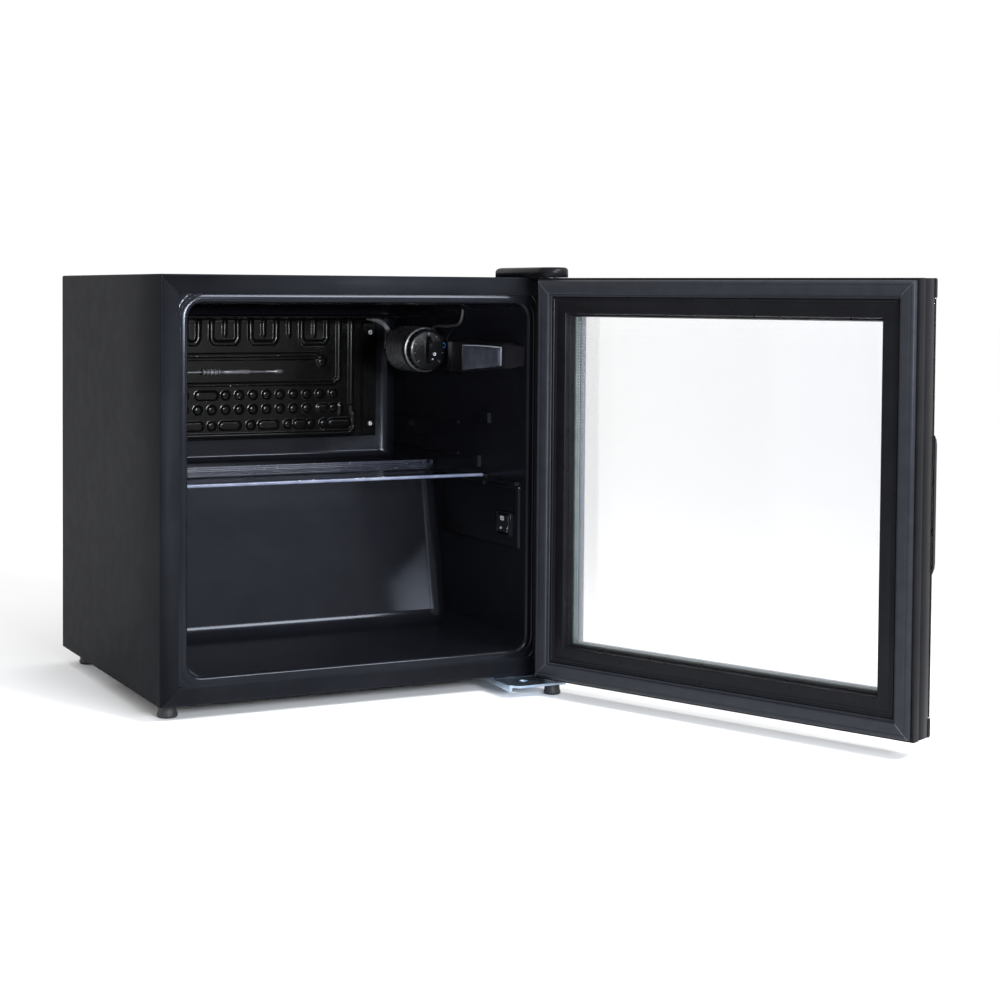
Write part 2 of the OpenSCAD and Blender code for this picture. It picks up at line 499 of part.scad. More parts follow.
module bottom_hinge_pin() color([0.8, 0.8, 0.82]) at_cab() {
    rod_z(pin_x, pin_y, -5.98, 17, 3.98);
    rod_z(pin_x, pin_y, 17, 18.5, 3.98, 2.8);
    rod_z(pin_x, pin_y, -15, -5.9, 3);
}
module bottom_hinge_screws() color([0.8, 0.8, 0.82]) at_cab() for (p = bottom_screws) translate([p[0], p[1], -3]) rotate([180, 0, 0]) screw_down([0, 0], 0, 14, 2.6);

// ---------------------------------------------------------------- door, drawn closed and turned about the hinge pins
// (x, z) outline of the door less e on every side
module door_rect(e) translate([-hw + e, door_z0 + e]) square([cab_w - 2 * e, door_h - 2 * e]);
// solid between depths u0 and u1 behind the inner face
module slab(u0, u1) along_y(face_y - u1, face_y - u0) children();
module door_outer_frame() color([0.05, 0.05, 0.055]) door_pose()
    difference() {
        slab(side_split + 0.1, glass_u) difference() { door_rect(0.4); door_rect(border_w - 5); }
        rod_z(pin_x, pin_y, door_z1 - 20, door_z1 + 1, 5);
        rod_z(pin_x, pin_y, door_z0 - 1, door_z0 + 21, 6.5);
    }
module cap(z0) slab(glass_u, door_t) translate([-hw, z0]) square([cab_w, 20]);
module door_top_cap() color([0.05, 0.05, 0.055]) door_pose() cap(door_z1 - 20);
module door_bottom_cap() color([0.05, 0.05, 0.055]) door_pose() cap(door_z0);
module door_inner_frame() color([0.05, 0.05, 0.055]) door_pose() {
    slab(0, 9) difference() { door_rect(0); door_rect(border_w - 4); }
    slab(9, side_split) difference() { door_rect(0); door_rect(border_w); }
}
// one side of the seal: outline in (in from the edge, out of the face), mitred at both ends
module mitred(len, w) intersection() {
    rotate([90, 0, 90]) linear_extrude(len) children();
    linear_extrude(60, center = true) polygon([[0, 0], [w, w], [len - w, w], [len, 0]]);
}
module ring4(e) {
    L = cab_w - 2 * e;
    Hh = door_h - 2 * e;
    for (k = [0, 1]) {
        translate([k == 0 ? -hw + e : hw - e, 0, k == 0 ? door_z0 + e : door_z1 - e]) rotate([0, k * 180, 0]) rotate([90, 0, 0]) mitred(L, 40) children();
        translate([k == 0 ? hw - e : -hw + e, 0, k == 0 ? door_z0 + e : door_z1 - e]) rotate([0, k * 180 - 90, 0]) rotate([90, 0, 0]) mitred(Hh, 40) children();
    }
}
module door_gasket() color([0.12, 0.12, 0.14]) door_pose() translate([0, face_y, 0])
    difference() {
        ring4(2.5) polygon([[0, -seal_h + 4.2], [1.3, -seal_h + 1.2], [4, -seal_h], [16, -seal_h], [17.5, -seal_h + 1.4], [17.5, -0.05], [0, -0.05]]);
        ring4(2.5) polygon([[6.4, -4.6], [13.6, -4.6], [13.6, -2.4], [6.4, -2.4]]);
    }
module gasket_magnets() color([0.2, 0.2, 0.2]) door_pose() translate([0, face_y, 0])
    ring4(2.5) polygon([[6.6, -4.5], [13.4, -4.5], [13.4, -2.5], [6.6, -2.5]]);
module outer_glass() color([0.6, 0.7, 0.75, 0.4]) door_pose()
    slab(glass_u + 0.05, glass_u + 3.5) translate([-hw + 0.5, door_z0 + 20.1]) square([cab_w - 1, door_h - 40.2]);
module inner_glass() color([0.7, 0.8, 0.85, 0.4]) door_pose()
    slab(side_split + 0.15, side_split + 3.15) door_rect(border_w - 4.8);
module glass_spacer() color([0.6, 0.63, 0.65]) door_pose()
    slab(side_split + 3.2, glass_u - 0.05) difference() { door_rect(border_w - 4.9); door_rect(border_w); }
module door_handle() color([0.05, 0.05, 0.055]) door_pose()
    intersection() {
        translate([0, face_y, 240 - grip_h / 2]) linear_extrude(grip_h) polygon([for (p = [[-hw, 37.6], [-hw, 42.6], [-hw + 1.6, 44.2], [-hw + 18, 44.2], [-hw + 20, 43],
            [-hw + 20, 41.6], [-hw + 16.5, 40.4], [-hw + 15.5, 37.6]]) [p[0], -p[1]]]);
        along_x(-hw - 1, -hw + 30) polygon([for (p = [[37, -grip_h / 2], [38, -grip_h / 2], [45, -grip_h / 2 + 5], [45, grip_h / 2 - 5], [38, grip_h / 2], [37, grip_h / 2]]) [face_y - p[0], 240 + p[1]]]);
    }
module door_bushes() color([0.85, 0.85, 0.83]) door_pose()
    difference() {
        union() {
            rod_z(pin_x, pin_y, door_z1 - 19.9, door_z1, 4.95);
            rod_z(pin_x, pin_y, door_z0, door_z0 + 20.9, 6.45);
            rod_z(pin_x, pin_y, -2.9, door_z0 - 0.05 + 0.1, 9.5);
        }
        rod_z(pin_x, pin_y, door_z1 - 18.5, door_z1 + 1, 3.05);
        rod_z(pin_x, pin_y, -4, door_z0 + 19.5, 4.04);
    }

outer_shell();
base_pan();
back_panel();
foam_insulation();
inner_liner();
evaporator_plate();
evaporator_spacers();
evaporator_screws();
thermostat_housing();
thermostat_unit();
thermostat_shaft();
thermostat_knob();
thermostat_capillary();
lamp_lead();
led_board();
lamp_lens();
switch_cover();
light_switch_rocker();
switch_pivot_pin();
glass_shelf();
shelf_rear_trim();
shelf_end_caps();
compressor_plate();
compressor();
compressor_grommets();
compressor_bolts();
relay_cover();
filter_drier();
discharge_tube();
suction_tube();
capillary_tube();
condenser_tube();
drain_spout();
evaporation_tray();
mains_inlet_gland();
rear_feet();
front_left_foot();
bracket_foot();
top_hinge_bracket();
top_hinge_pin();
top_hinge_screws();
top_hinge_cover();
bottom_hinge_bracket();
bottom_hinge_pin();
bottom_hinge_screws();
door_outer_frame();
door_top_cap();
door_bottom_cap();
door_inner_frame();
door_gasket();
gasket_magnets();
outer_glass();
inner_glass();
glass_spacer();
door_handle();
door_bushes();
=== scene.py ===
import bpy, bmesh, json, math
from mathutils import Vector, Matrix


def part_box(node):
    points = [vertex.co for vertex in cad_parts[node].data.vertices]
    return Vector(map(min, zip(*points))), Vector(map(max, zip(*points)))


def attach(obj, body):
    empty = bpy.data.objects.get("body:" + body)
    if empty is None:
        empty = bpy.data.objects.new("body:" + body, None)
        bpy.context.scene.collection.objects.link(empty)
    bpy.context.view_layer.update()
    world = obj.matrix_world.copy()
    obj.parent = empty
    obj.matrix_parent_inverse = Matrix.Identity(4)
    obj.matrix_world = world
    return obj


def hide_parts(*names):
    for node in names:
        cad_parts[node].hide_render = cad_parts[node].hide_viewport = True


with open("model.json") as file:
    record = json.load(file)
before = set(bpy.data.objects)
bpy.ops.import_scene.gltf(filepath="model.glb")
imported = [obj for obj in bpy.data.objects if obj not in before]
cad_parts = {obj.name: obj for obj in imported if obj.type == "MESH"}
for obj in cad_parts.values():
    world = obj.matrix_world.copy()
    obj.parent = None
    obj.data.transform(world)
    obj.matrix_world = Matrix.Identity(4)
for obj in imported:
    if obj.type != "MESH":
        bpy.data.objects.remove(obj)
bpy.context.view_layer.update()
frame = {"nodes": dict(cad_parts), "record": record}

MM = 0.001

# ------------------------------------------------------------------ frame helpers
# All shapes below are written in cabinet millimetres: x across, y back from the front face, z up from the cabinet's bottom edge.
shell_lo, shell_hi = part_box("outer_shell")
CW = (shell_hi.x - shell_lo.x) / MM
CD = (shell_hi.y - shell_lo.y) / MM
CH = (shell_hi.z - shell_lo.z) / MM
OY, OZ = shell_lo.y, shell_lo.z
HW = CW / 2


def row(p):
    return Vector((p[0] * MM, p[1] * MM + OY, p[2] * MM + OZ))


joints = {j["name"]: j for j in frame["record"]["behaviour"]["joints"]}
PIN = joints["door_hinge"]["pos_m"]
PX, PY = PIN[0] / MM, (PIN[1] - OY) / MM
OPEN = math.radians(-joints["door_hinge"]["range_deg"][0])
co, so = math.cos(OPEN), math.sin(OPEN)


def door_row(p):
    # closed-door millimetres to the row frame with the door at its stored angle
    x, y = p[0] - PX, p[1] - PY
    return row((PX + x * co - y * so, PY + x * so + y * co, p[2]))


def clean(name):
    return name.replace(" ", "_")


# ------------------------------------------------------------------ materials
def new_mat(name):
    m = bpy.data.materials.new(name)
    m.use_nodes = True
    nt = m.node_tree
    b = nt.nodes.get("Principled BSDF")
    return m, nt, b


def coords(nt, scale=(1, 1, 1)):
    tc = nt.nodes.new("ShaderNodeTexCoord")
    mp = nt.nodes.new("ShaderNodeMapping")
    mp.inputs["Scale"].default_value = scale
    nt.links.new(tc.outputs["Object"], mp.inputs["Vector"])
    return mp.outputs["Vector"]


def noise(nt, vec, scale, detail=3, rough=0.5):
    n = nt.nodes.new("ShaderNodeTexNoise")
    n.inputs["Scale"].default_value = scale
    n.inputs["Detail"].default_value = detail
    n.inputs["Roughness"].default_value = rough
    nt.links.new(vec, n.inputs["Vector"])
    return n.outputs["Fac"]


def ramp(nt, fac, stops):
    r = nt.nodes.new("ShaderNodeValToRGB")
    el = r.color_ramp.elements
    while len(el) < len(stops):
        el.new(0.5)
    for e, (pos, col) in zip(el, stops):
        e.position = pos
        e.color = tuple(col) + (1,) if len(col) == 3 else col
    nt.links.new(fac, r.inputs["Fac"])
    return r.outputs["Color"]


def remap(nt, fac, lo, hi):
    m = nt.nodes.new("ShaderNodeMapRange")
    m.inputs["To Min"].default_value = lo
    m.inputs["To Max"].default_value = hi
    nt.links.new(fac, m.inputs["Value"])
    return m.outputs["Result"]


def bump(nt, b, height, strength, dist):
    n = nt.nodes.new("ShaderNodeBump")
    n.inputs["Strength"].default_value = strength
    n.inputs["Distance"].default_value = dist
    nt.links.new(height, n.inputs["Height"])
    nt.links.new(n.outputs["Normal"], b.inputs["Normal"])
    return n


def surface(name, c0, c1, rough=(0.3, 0.4), scale=40, stretch=(1, 1, 1), grain=0, grain_scale=900, grain_d=0.0001,
            metal=0.0, spec=0.5, coat=0.0, coat_rough=0.1, tint=None, detail=3, ior=1.5):
    """A painted, moulded or metal surface: two close colours mottled by noise, uneven roughness and a fine grain."""
    m, nt, b = new_mat(name)
    v = coords(nt, stretch)
    f = noise(nt, v, scale, detail)
    nt.links.new(ramp(nt, f, [(0.35, c0), (0.65, c1)]), b.inputs["Base Color"])
    f2 = noise(nt, v, scale * 2.7, 2)
    nt.links.new(remap(nt, f2, rough[0], rough[1]), b.inputs["Roughness"])
    b.inputs["Metallic"].default_value = metal
    b.inputs["IOR"].default_value = ior
    b.inputs["Specular IOR Level"].default_value = spec
    if tint:
        b.inputs["Specular Tint"].default_value = tuple(tint) + (1,)
    b.inputs["Coat Weight"].default_value = coat
    b.inputs["Coat Roughness"].default_value = coat_rough
    if grain:
        v2 = coords(nt)
        bump(nt, b, noise(nt, v2, grain_scale, 2), grain, grain_d)
    return m


M = {}
M["paint"] = surface("cabinet_paint", (0.0064, 0.0068, 0.0088), (0.0080, 0.0085, 0.0106), (0.42, 0.5), 18, grain=0.35, grain_scale=1300, grain_d=0.00008, tint=(0.85, 0.93, 1.0), spec=0.012)
M["liner"] = surface("liner_gloss", (0.0040, 0.0042, 0.0058), (0.0050, 0.0053, 0.0072), (0.12, 0.18), 14, grain=0.05, grain_scale=300, grain_d=0.0002, tint=(0.80, 0.86, 1.0), spec=0.12)
M["trim"] = surface("black_plastic", (0.0038, 0.0038, 0.0046), (0.0052, 0.0052, 0.0062), (0.28, 0.38), 30, grain=0.25, grain_scale=1500, grain_d=0.00006, spec=0.3)
M["gloss_trim"] = surface("door_plastic", (0.0042, 0.0042, 0.0052), (0.0056, 0.0056, 0.0068), (0.24, 0.34), 25, grain=0.1, grain_scale=800, grain_d=0.00006, tint=(0.92, 0.94, 1.0), spec=0.08)
M["evap"] = surface("evaporator_paint", (0.0012, 0.0012, 0.0013), (0.0020, 0.0020, 0.0021), (0.12, 0.18), 60, grain=0.12, grain_scale=900, grain_d=0.0001, spec=0.12)
M["seal"] = surface("seal_rubber", (0.0105, 0.0110, 0.0145), (0.0135, 0.0142, 0.0185), (0.36, 0.46), 70, grain=0.3, grain_scale=1700, grain_d=0.00005, tint=(0.85, 0.9, 1.0), spec=0.22)
M["rubber"] = surface("foot_rubber", (0.008, 0.008, 0.009), (0.014, 0.014, 0.016), (0.5, 0.65), 120, grain=0.5, grain_scale=1600, grain_d=0.0001)
M["zinc"] = surface("zinc_plate", (0.30, 0.39, 0.50), (0.48, 0.58, 0.70), (0.24, 0.4), 55, metal=1.0, grain=0.3, grain_scale=600, grain_d=0.0001)
M["steel"] = surface("screw_steel", (0.55, 0.56, 0.58), (0.7, 0.71, 0.73), (0.22, 0.34), 90, metal=1.0, grain=0.2, grain_scale=1200, grain_d=0.00005)
M["galv"] = surface("galvanised", (0.45, 0.47, 0.5), (0.62, 0.64, 0.66), (0.35, 0.5), 35, metal=1.0, grain=0.2, grain_scale=500, grain_d=0.0001, detail=6)
M["copper"] = surface("copper_tube", (0.55, 0.25, 0.14), (0.75, 0.4, 0.26), (0.25, 0.42), 45, metal=1.0, grain=0.15, grain_scale=800, grain_d=0.0001)
M["comp"] = surface("compressor_paint", (0.006, 0.006, 0.006), (0.011, 0.011, 0.011), (0.25, 0.38), 25, coat=0.3, grain=0.4, grain_scale=500, grain_d=0.0002)
M["white"] = surface("white_plastic", (0.62, 0.64, 0.68), (0.7, 0.72, 0.76), (0.25, 0.35), 60, grain=0.1, grain_scale=900, grain_d=0.00005)
M["lens"] = surface("lamp_lens", (0.055, 0.058, 0.078), (0.085, 0.090, 0.12), (0.12, 0.18), 40, grain=0.1, grain_scale=700, grain_d=0.0001, tint=(0.85, 0.9, 1.0))
# pale colour of the lens rim is a painted highlight, not the part's own colour
M["rim_painted_highlight"] = surface("lamp_lens_painted_highlight", (0.42, 0.44, 0.52), (0.55, 0.57, 0.66), (0.08, 0.12), 60, grain=0.05)
M["drum"] = surface("thermostat_drum", (0.014, 0.014, 0.016), (0.020, 0.020, 0.023), (0.24, 0.32), 40, grain=0.15, grain_scale=900, grain_d=0.00006)
M["dial"] = surface("dial_black", (0.0022, 0.0022, 0.0028), (0.0032, 0.0032, 0.0040), (0.2, 0.28), 60, grain=0.1, grain_scale=900, grain_d=0.00006, spec=0.15)
M["lead"] = surface("lamp_lead", (0.022, 0.022, 0.024), (0.032, 0.032, 0.035), (0.3, 0.4), 130, grain=0.2)
M["pcb"] = surface("circuit_board", (0.5, 0.53, 0.5), (0.6, 0.62, 0.6), (0.4, 0.5), 90, grain=0.2)
M["foam"] = surface("foam", (0.72, 0.62, 0.36), (0.85, 0.76, 0.5), (0.8, 0.95), 160, grain=0.8, grain_scale=500, grain_d=0.0006)
M["shelf_trim"] = surface("shelf_trim", (0.010, 0.011, 0.017), (0.016, 0.018, 0.027), (0.22, 0.3), 50, grain=0.05, tint=(0.85, 0.9, 1.0), spec=0.3)
M["steel_tube"] = surface("steel_tube", (0.02, 0.02, 0.02), (0.05, 0.05, 0.05), (0.4, 0.5), 60, grain=0.2)
M["sensor"] = surface("sensor_grey", (0.03, 0.03, 0.034), (0.06, 0.06, 0.066), (0.25, 0.35), 90, grain=0.2)
M["dial_case"] = surface("dial_case", (0.0050, 0.0050, 0.0063), (0.0068, 0.0068, 0.0085), (0.26, 0.34), 40, grain=0.15, grain_scale=900, grain_d=0.00006, tint=(0.9, 0.92, 1.0), spec=0.2)
M["seal_weld"] = surface("seal_weld", (0.03, 0.032, 0.04), (0.045, 0.048, 0.06), (0.35, 0.45), 200, grain=0.2)
M["mark_white"] = surface("mark_white", (0.42, 0.44, 0.48), (0.5, 0.52, 0.56), (0.4, 0.5), 300, grain=0.1)
M["mark_blue"] = surface("mark_blue", (0.02, 0.12, 0.55), (0.04, 0.2, 0.75), (0.2, 0.3), 300, grain=0.1)
M["rocker"] = surface("rocker_dark", (0.008, 0.008, 0.010), (0.012, 0.012, 0.015), (0.22, 0.3), 80, grain=0.1)
M["spacer"] = surface("spacer_metal", (0.055, 0.075, 0.07), (0.085, 0.105, 0.098), (0.35, 0.45), 80, metal=0.2, grain=0.2, grain_scale=900, grain_d=0.00005)
M["sealant"] = surface("spacer_sealant", (0.006, 0.012, 0.034), (0.010, 0.019, 0.048), (0.4, 0.5), 60, grain=0.2, spec=0.3)
M["dot_dark"] = surface("dot_pale", (0.75, 0.8, 0.85), (0.85, 0.9, 0.95), (0.4, 0.5), 400, grain=0.1)
M["print_black"] = surface("print_black", (0.0030, 0.0031, 0.0036), (0.0042, 0.0043, 0.0050), (0.10, 0.16), 60, grain=0.05, spec=0.25)
M["magnet"] = surface("magnet", (0.02, 0.018, 0.016), (0.04, 0.036, 0.032), (0.6, 0.7), 90, grain=0.3)
M["sleeve"] = surface("tube_sleeve", (0.07, 0.07, 0.078), (0.12, 0.12, 0.13), (0.25, 0.35), 130, grain=0.3)


def glass_mat(name, tint, rough, alpha_mix, far=None, node=None):
    m, nt, b = new_mat(name)
    v = coords(nt)
    f = noise(nt, v, 6, 2)
    if far:
        # a slow change of tint across the pane, measured in the pane's own coordinates
        xs_ = [p.co.x for p in frame["nodes"][node].data.vertices]
        sep = nt.nodes.new("ShaderNodeSeparateXYZ")
        nt.links.new(v, sep.inputs[0])
        mr = nt.nodes.new("ShaderNodeMapRange")
        mr.inputs["From Min"].default_value = min(xs_)
        mr.inputs["From Max"].default_value = max(xs_)
        nt.links.new(sep.outputs["X"], mr.inputs["Value"])
        add = nt.nodes.new("ShaderNodeMath")
        add.operation = "MULTIPLY_ADD"
        nt.links.new(f, add.inputs[0])
        add.inputs[1].default_value = 0.06
        nt.links.new(mr.outputs["Result"], add.inputs[2])
        nt.links.new(ramp(nt, add.outputs[0], [(0.15, tint), (0.95, far)]), b.inputs["Base Color"])
    else:
        nt.links.new(ramp(nt, f, [(0.3, tint), (0.7, tuple(min(1, c * 1.01) for c in tint))]), b.inputs["Base Color"])
    nt.links.new(remap(nt, noise(nt, v, 30, 2), rough, rough + 0.015), b.inputs["Roughness"])
    b.inputs["Transmission Weight"].default_value = 1.0
    b.inputs["IOR"].default_value = 1.45
    b.inputs["Alpha"].default_value = alpha_mix
    return m


M["glass"] = glass_mat("door_glass", (0.985, 0.99, 1.0), 0.0, 0.3, (0.74, 0.79, 0.90), "outer_glass")
M["glass_in"] = glass_mat("door_glass_inner", (0.985, 0.99, 1.0), 0.0, 0.25)
M["shelf_glass"] = glass_mat("shelf_glass", (0.80, 0.84, 0.93), 0.0, 0.2)
M["shelf_edge"] = surface("shelf_edge", (0.06, 0.07, 0.11), (0.10, 0.115, 0.16), (0.1, 0.16), 60, grain=0.05)

FOR_NODE = {
    "outer_shell": "paint", "base_pan": "paint", "back_panel": "paint", "foam_insulation": "foam", "inner_liner": "liner",
    "evaporator_plate": "evap", "evaporator_spacers": "trim", "evaporator_screws": "steel", "thermostat_housing": "trim",
    "thermostat_unit": "galv", "thermostat_shaft": "steel", "thermostat_knob": "trim", "thermostat_capillary": "sleeve",
    "lamp_lead": "lead", "led_board": "pcb", "lamp_lens": "lens", "switch_cover": "trim", "light_switch_rocker": "white",
    "switch_pivot_pin": "steel", "glass_shelf": "shelf_glass", "shelf_rear_trim": "shelf_trim", "shelf_end_caps": "shelf_trim",
    "compressor_plate": "galv", "compressor": "comp", "compressor_grommets": "rubber", "compressor_bolts": "steel",
    "relay_cover": "trim", "filter_drier": "copper", "discharge_tube": "copper", "suction_tube": "copper",
    "capillary_tube": "copper", "condenser_tube": "steel_tube", "drain_spout": "white", "evaporation_tray": "trim",
    "mains_inlet_gland": "trim", "rear_feet": "rubber", "front_left_foot": "rubber", "bracket_foot": "rubber",
    "top_hinge_bracket": "zinc", "top_hinge_pin": "steel", "top_hinge_screws": "steel", "top_hinge_cover": "gloss_trim",
    "bottom_hinge_bracket": "zinc", "bottom_hinge_pin": "steel", "bottom_hinge_screws": "steel", "door_outer_frame": "gloss_trim",
    "door_top_cap": "gloss_trim", "door_bottom_cap": "gloss_trim", "door_inner_frame": "gloss_trim", "door_gasket": "seal",
    "gasket_magnets": "magnet", "outer_glass": "glass", "inner_glass": "glass_in", "glass_spacer": "galv", "door_handle": "gloss_trim",
    "door_bushes": "white",
}
for n, key in FOR_NODE.items():
    o = frame["nodes"][n]
    if not o.material_slots:
        o.data.materials.append(M[key])
    for s in o.material_slots:
        s.material = M[key]

BEVEL = {"bottom_hinge_bracket": 0.5, "top_hinge_bracket": 0.4, "glass_shelf": 0.5, "outer_glass": 0.4, "inner_glass": 0.4,
         "shelf_rear_trim": 0.5, "shelf_end_caps": 0.6, "compressor_plate": 0.4, "relay_cover": 1.5, "evaporation_tray": 0.6,
         "base_pan": 0.3}
for n, w in BEVEL.items():
    o = frame["nodes"][n]
    wm = o.modifiers.new("weld", "WELD")
    wm.merge_threshold = 0.00001
    bm_ = o.modifiers.new("bevel", "BEVEL")
    bm_.width = w * MM
    bm_.segments = 3
    bm_.limit_method = "ANGLE"
    bm_.angle_limit = math.radians(35)
    bm_.harden_normals = False

# ------------------------------------------------------------------ building helpers
def finish_mesh(name, bm_, mat, body, replaces=(), angle=35, flat=False, doubles=0.0):
    if doubles:
        bmesh.ops.remove_doubles(bm_, verts=bm_.verts, dist=doubles)
    me = bpy.data.meshes.new(name)
    bm_.to_mesh(me)
    bm_.free()
    me.validate()
    if not flat:
        for p in me.polygons:
            p.use_smooth = True
        me.set_sharp_from_angle(angle=math.radians(angle))
    ob = bpy.data.objects.new(name, me)
    bpy.context.scene.collection.objects.link(ob)
    me.materials.append(M[mat] if isinstance(mat, str) else mat)
    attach(ob, body)
    if replaces:
        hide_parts(*replaces)
    return ob


def add_mods(ob, bevel=None, seg=3, angle=35, weld=True, solid=None):
    if solid:
        m = ob.modifiers.new("solid", "SOLIDIFY")
        m.thickness = solid * MM
        m.offset = -1
    if bevel:
        m = ob.modifiers.new("bevel", "BEVEL")
        m.width = bevel * MM
        m.segments = seg
        m.limit_method = "ANGLE"
        m.angle_limit = math.radians(angle)
        m.harden_normals = False
    return ob


def new_bm():
    return bmesh.new()


def add_box(bm_, a, b, place=row):
    vs = [bm_.verts.new(place((x, y, z))) for z in (a[2], b[2]) for y in (a[1], b[1]) for x in (a[0], b[0])]
    for f in ((0, 2, 3, 1), (4, 5, 7, 6), (0, 1, 5, 4), (2, 6, 7, 3), (0, 4, 6, 2), (1, 3, 7, 5)):
        bm_.faces.new([vs[i] for i in f])
    return vs


def add_prism(bm_, outline, fn, a, b):
    """outline is 2-D; fn(u, v, t) gives the 3-D point at end a or b."""
    lo_ = [bm_.verts.new(fn(u, v, a)) for u, v in outline]
    hi_ = [bm_.verts.new(fn(u, v, b)) for u, v in outline]
    n = len(outline)
    bm_.faces.new(lo_)
    bm_.faces.new(hi_[::-1])
    for i in range(n):
        bm_.faces.new([lo_[i], hi_[i], hi_[(i + 1) % n], lo_[(i + 1) % n]])


def add_lathe(bm_, prof, fn, n=48, close=True):
    """prof is a list of (radius, t); fn(cx, cy, t) places a point of the ring."""
    rings = []
    for r, t in prof:
        if r < 1e-6:
            rings.append([bm_.verts.new(fn(0, 0, t))])
        else:
            rings.append([bm_.verts.new(fn(r * math.cos(2 * math.pi * k / n), r * math.sin(2 * math.pi * k / n), t)) for k in range(n)])
    for A, B in zip(rings, rings[1:]):
        if len(A) == 1 and len(B) == 1:
            continue
        for k in range(n):
            k2 = (k + 1) % n
            if len(A) == 1:
                bm_.faces.new([A[0], B[k2], B[k]])
            elif len(B) == 1:
                bm_.faces.new([A[k], A[k2], B[0]])
            else:
                bm_.faces.new([A[k], A[k2], B[k2], B[k]])


def add_tube(bm_, pts, r, n=12, place=row):
    P = [Vector(p) for p in pts]
    prev = None
    rings = []
    for i, p in enumerate(P):
        t = (P[min(i + 1, len(P) - 1)] - P[max(i - 1, 0)]).normalized()
        if prev is None:
            u = t.cross(Vector((0, 0, 1)) if abs(t.z) < 0.8 else Vector((1, 0, 0))).normalized()
        else:
            u = (prev - prev.dot(t) * t).normalized()
        prev = u
        v = t.cross(u)
        rings.append([bm_.verts.new(place(tuple(p + (u * math.cos(2 * math.pi * k / n) + v * math.sin(2 * math.pi * k / n)) * r))) for k in range(n)])
    for A, B in zip(rings, rings[1:]):
        for k in range(n):
            bm_.faces.new([A[k], A[(k + 1) % n], B[(k + 1) % n], B[k]])
    bm_.faces.new(rings[0][::-1])
    bm_.faces.new(rings[-1])


def smooth_path(pts, r, k=6):
    P = [Vector(p) for p in pts]
    out = [P[0]]
    for a, b, c in zip(P, P[1:], P[2:]):
        ra = min(r, (a - b).length * 0.48)
        rc = min(r, (c - b).length * 0.48)
        s, e = b + (a - b).normalized() * ra, b + (c - b).normalized() * rc
        out += [(1 - t) ** 2 * s + 2 * t * (1 - t) * b + t * t * e for t in [j / k for j in range(k + 1)]]
    out.append(P[-1])
    return out


def add_ring(bm_, rect, prof, place, closed=True, face_fn=None):
    """A mitred frame: rect = (x0, x1, z0, z1); prof = [(inset, height)...] swept round it. face_fn(x, z, h) gives the point before place."""
    x0, x1, z0, z1 = rect
    cols = []
    for sx, sz in ((0, 0), (1, 0), (1, 1), (0, 1)):
        col = []
        for n, h in prof:
            x = x0 + n if sx == 0 else x1 - n
            z = z0 + n if sz == 0 else z1 - n
            col.append(bm_.verts.new(place(face_fn(x, z, h))))
        cols.append(col)
    m = len(prof)
    for c in range(4):
        A, B = cols[c], cols[(c + 1) % 4]
        for i in range(m if closed else m - 1):
            j = (i + 1) % m
            bm_.faces.new([A[i], B[i], B[j], A[j]])


def arc(cx, cy, r, a0, a1, k=5):
    return [(cx + r * math.cos(math.radians(a0 + (a1 - a0) * i / k)), cy + r * math.sin(math.radians(a0 + (a1 - a0) * i / k))) for i in range(k + 1)]


def half_w(y):
    return 211 - 12 * y / 362


# ------------------------------------------------------------------ cabinet skin: one folded wrapper and a mitred front flange
FL = 22
bm = new_bm()
R = 2.2
outer = [(-HW, 0)] + [(-HW + R - R * math.cos(a), CH - R + R * math.sin(a)) for a in [math.radians(d) for d in range(0, 91, 18)]]
outer += [(-x, z) for x, z in outer[::-1]]
depths = [(CD, 0.0), (2.0, 0.0)] + [(2.0 - 2.0 * math.sin(math.radians(d)), 2.0 - 2.0 * math.cos(math.radians(d))) for d in (22, 45, 68, 90)]
cols = []
for x, z in outer:
    # inward direction of the wrapper at this point
    nx = 1 if x < -HW + 1e-6 else (-1 if x > HW - 1e-6 else 0)
    nz = -1 if z > CH - 1e-6 else 0
    if nx == 0 and nz == 0:
        c = Vector((-HW + R if x < 0 else HW - R, CH - R))
        d = (c - Vector((x, z))).normalized()
        nx, nz = d.x, d.y
    cols.append([bm.verts.new(row((x + nx * i, y, z + nz * i))) for y, i in depths])
for A, B in zip(cols, cols[1:]):
    for i in range(len(depths) - 1):
        bm.faces.new([A[i], A[i + 1], B[i + 1], B[i]])
skin = finish_mesh("cabinet_skin", bm, "paint", "cabinet", ("outer_shell",), angle=50)
skin.modifiers.new("thick", "SOLIDIFY").thickness = 0.0008
skin.modifiers["thick"].offset = -1

# front flange strips, each mitred at its ends with a hair gap, with a rolled inner edge
G = 0.22
prof = [(1.6, 0.0), (FL - 1.6, 0.0)] + [(FL - 1.6 + 1.6 * math.sin(math.radians(d)), 1.6 - 1.6 * math.cos(math.radians(d))) for d in (30, 60, 90)] + [(FL, 7.0)]
RB = 20


def flange_strip(bm_, kind):
    A, B = [], []
    for n, y in prof:
        if kind == "top":
            A.append((-HW + n + G, y, CH - n)); B.append((HW - n - G, y, CH - n))
        elif kind == "left":
            A.append((-HW + n, y, CH - n - G)); B.append((-HW + n, y, n * RB / FL + G))
        elif kind == "right":
            A.append((HW - n, y, n * RB / FL + G)); B.append((HW - n, y, CH - n - G))
        else:
            A.append((HW - n - G, y, n * RB / FL)); B.append((-HW + n + G, y, n * RB / FL))
    va = [bm_.verts.new(row(p)) for p in A]
    vb = [bm_.verts.new(row(p)) for p in B]
    for i in range(len(prof) - 1):
        bm_.faces.new([va[i], vb[i], vb[i + 1], va[i + 1]])


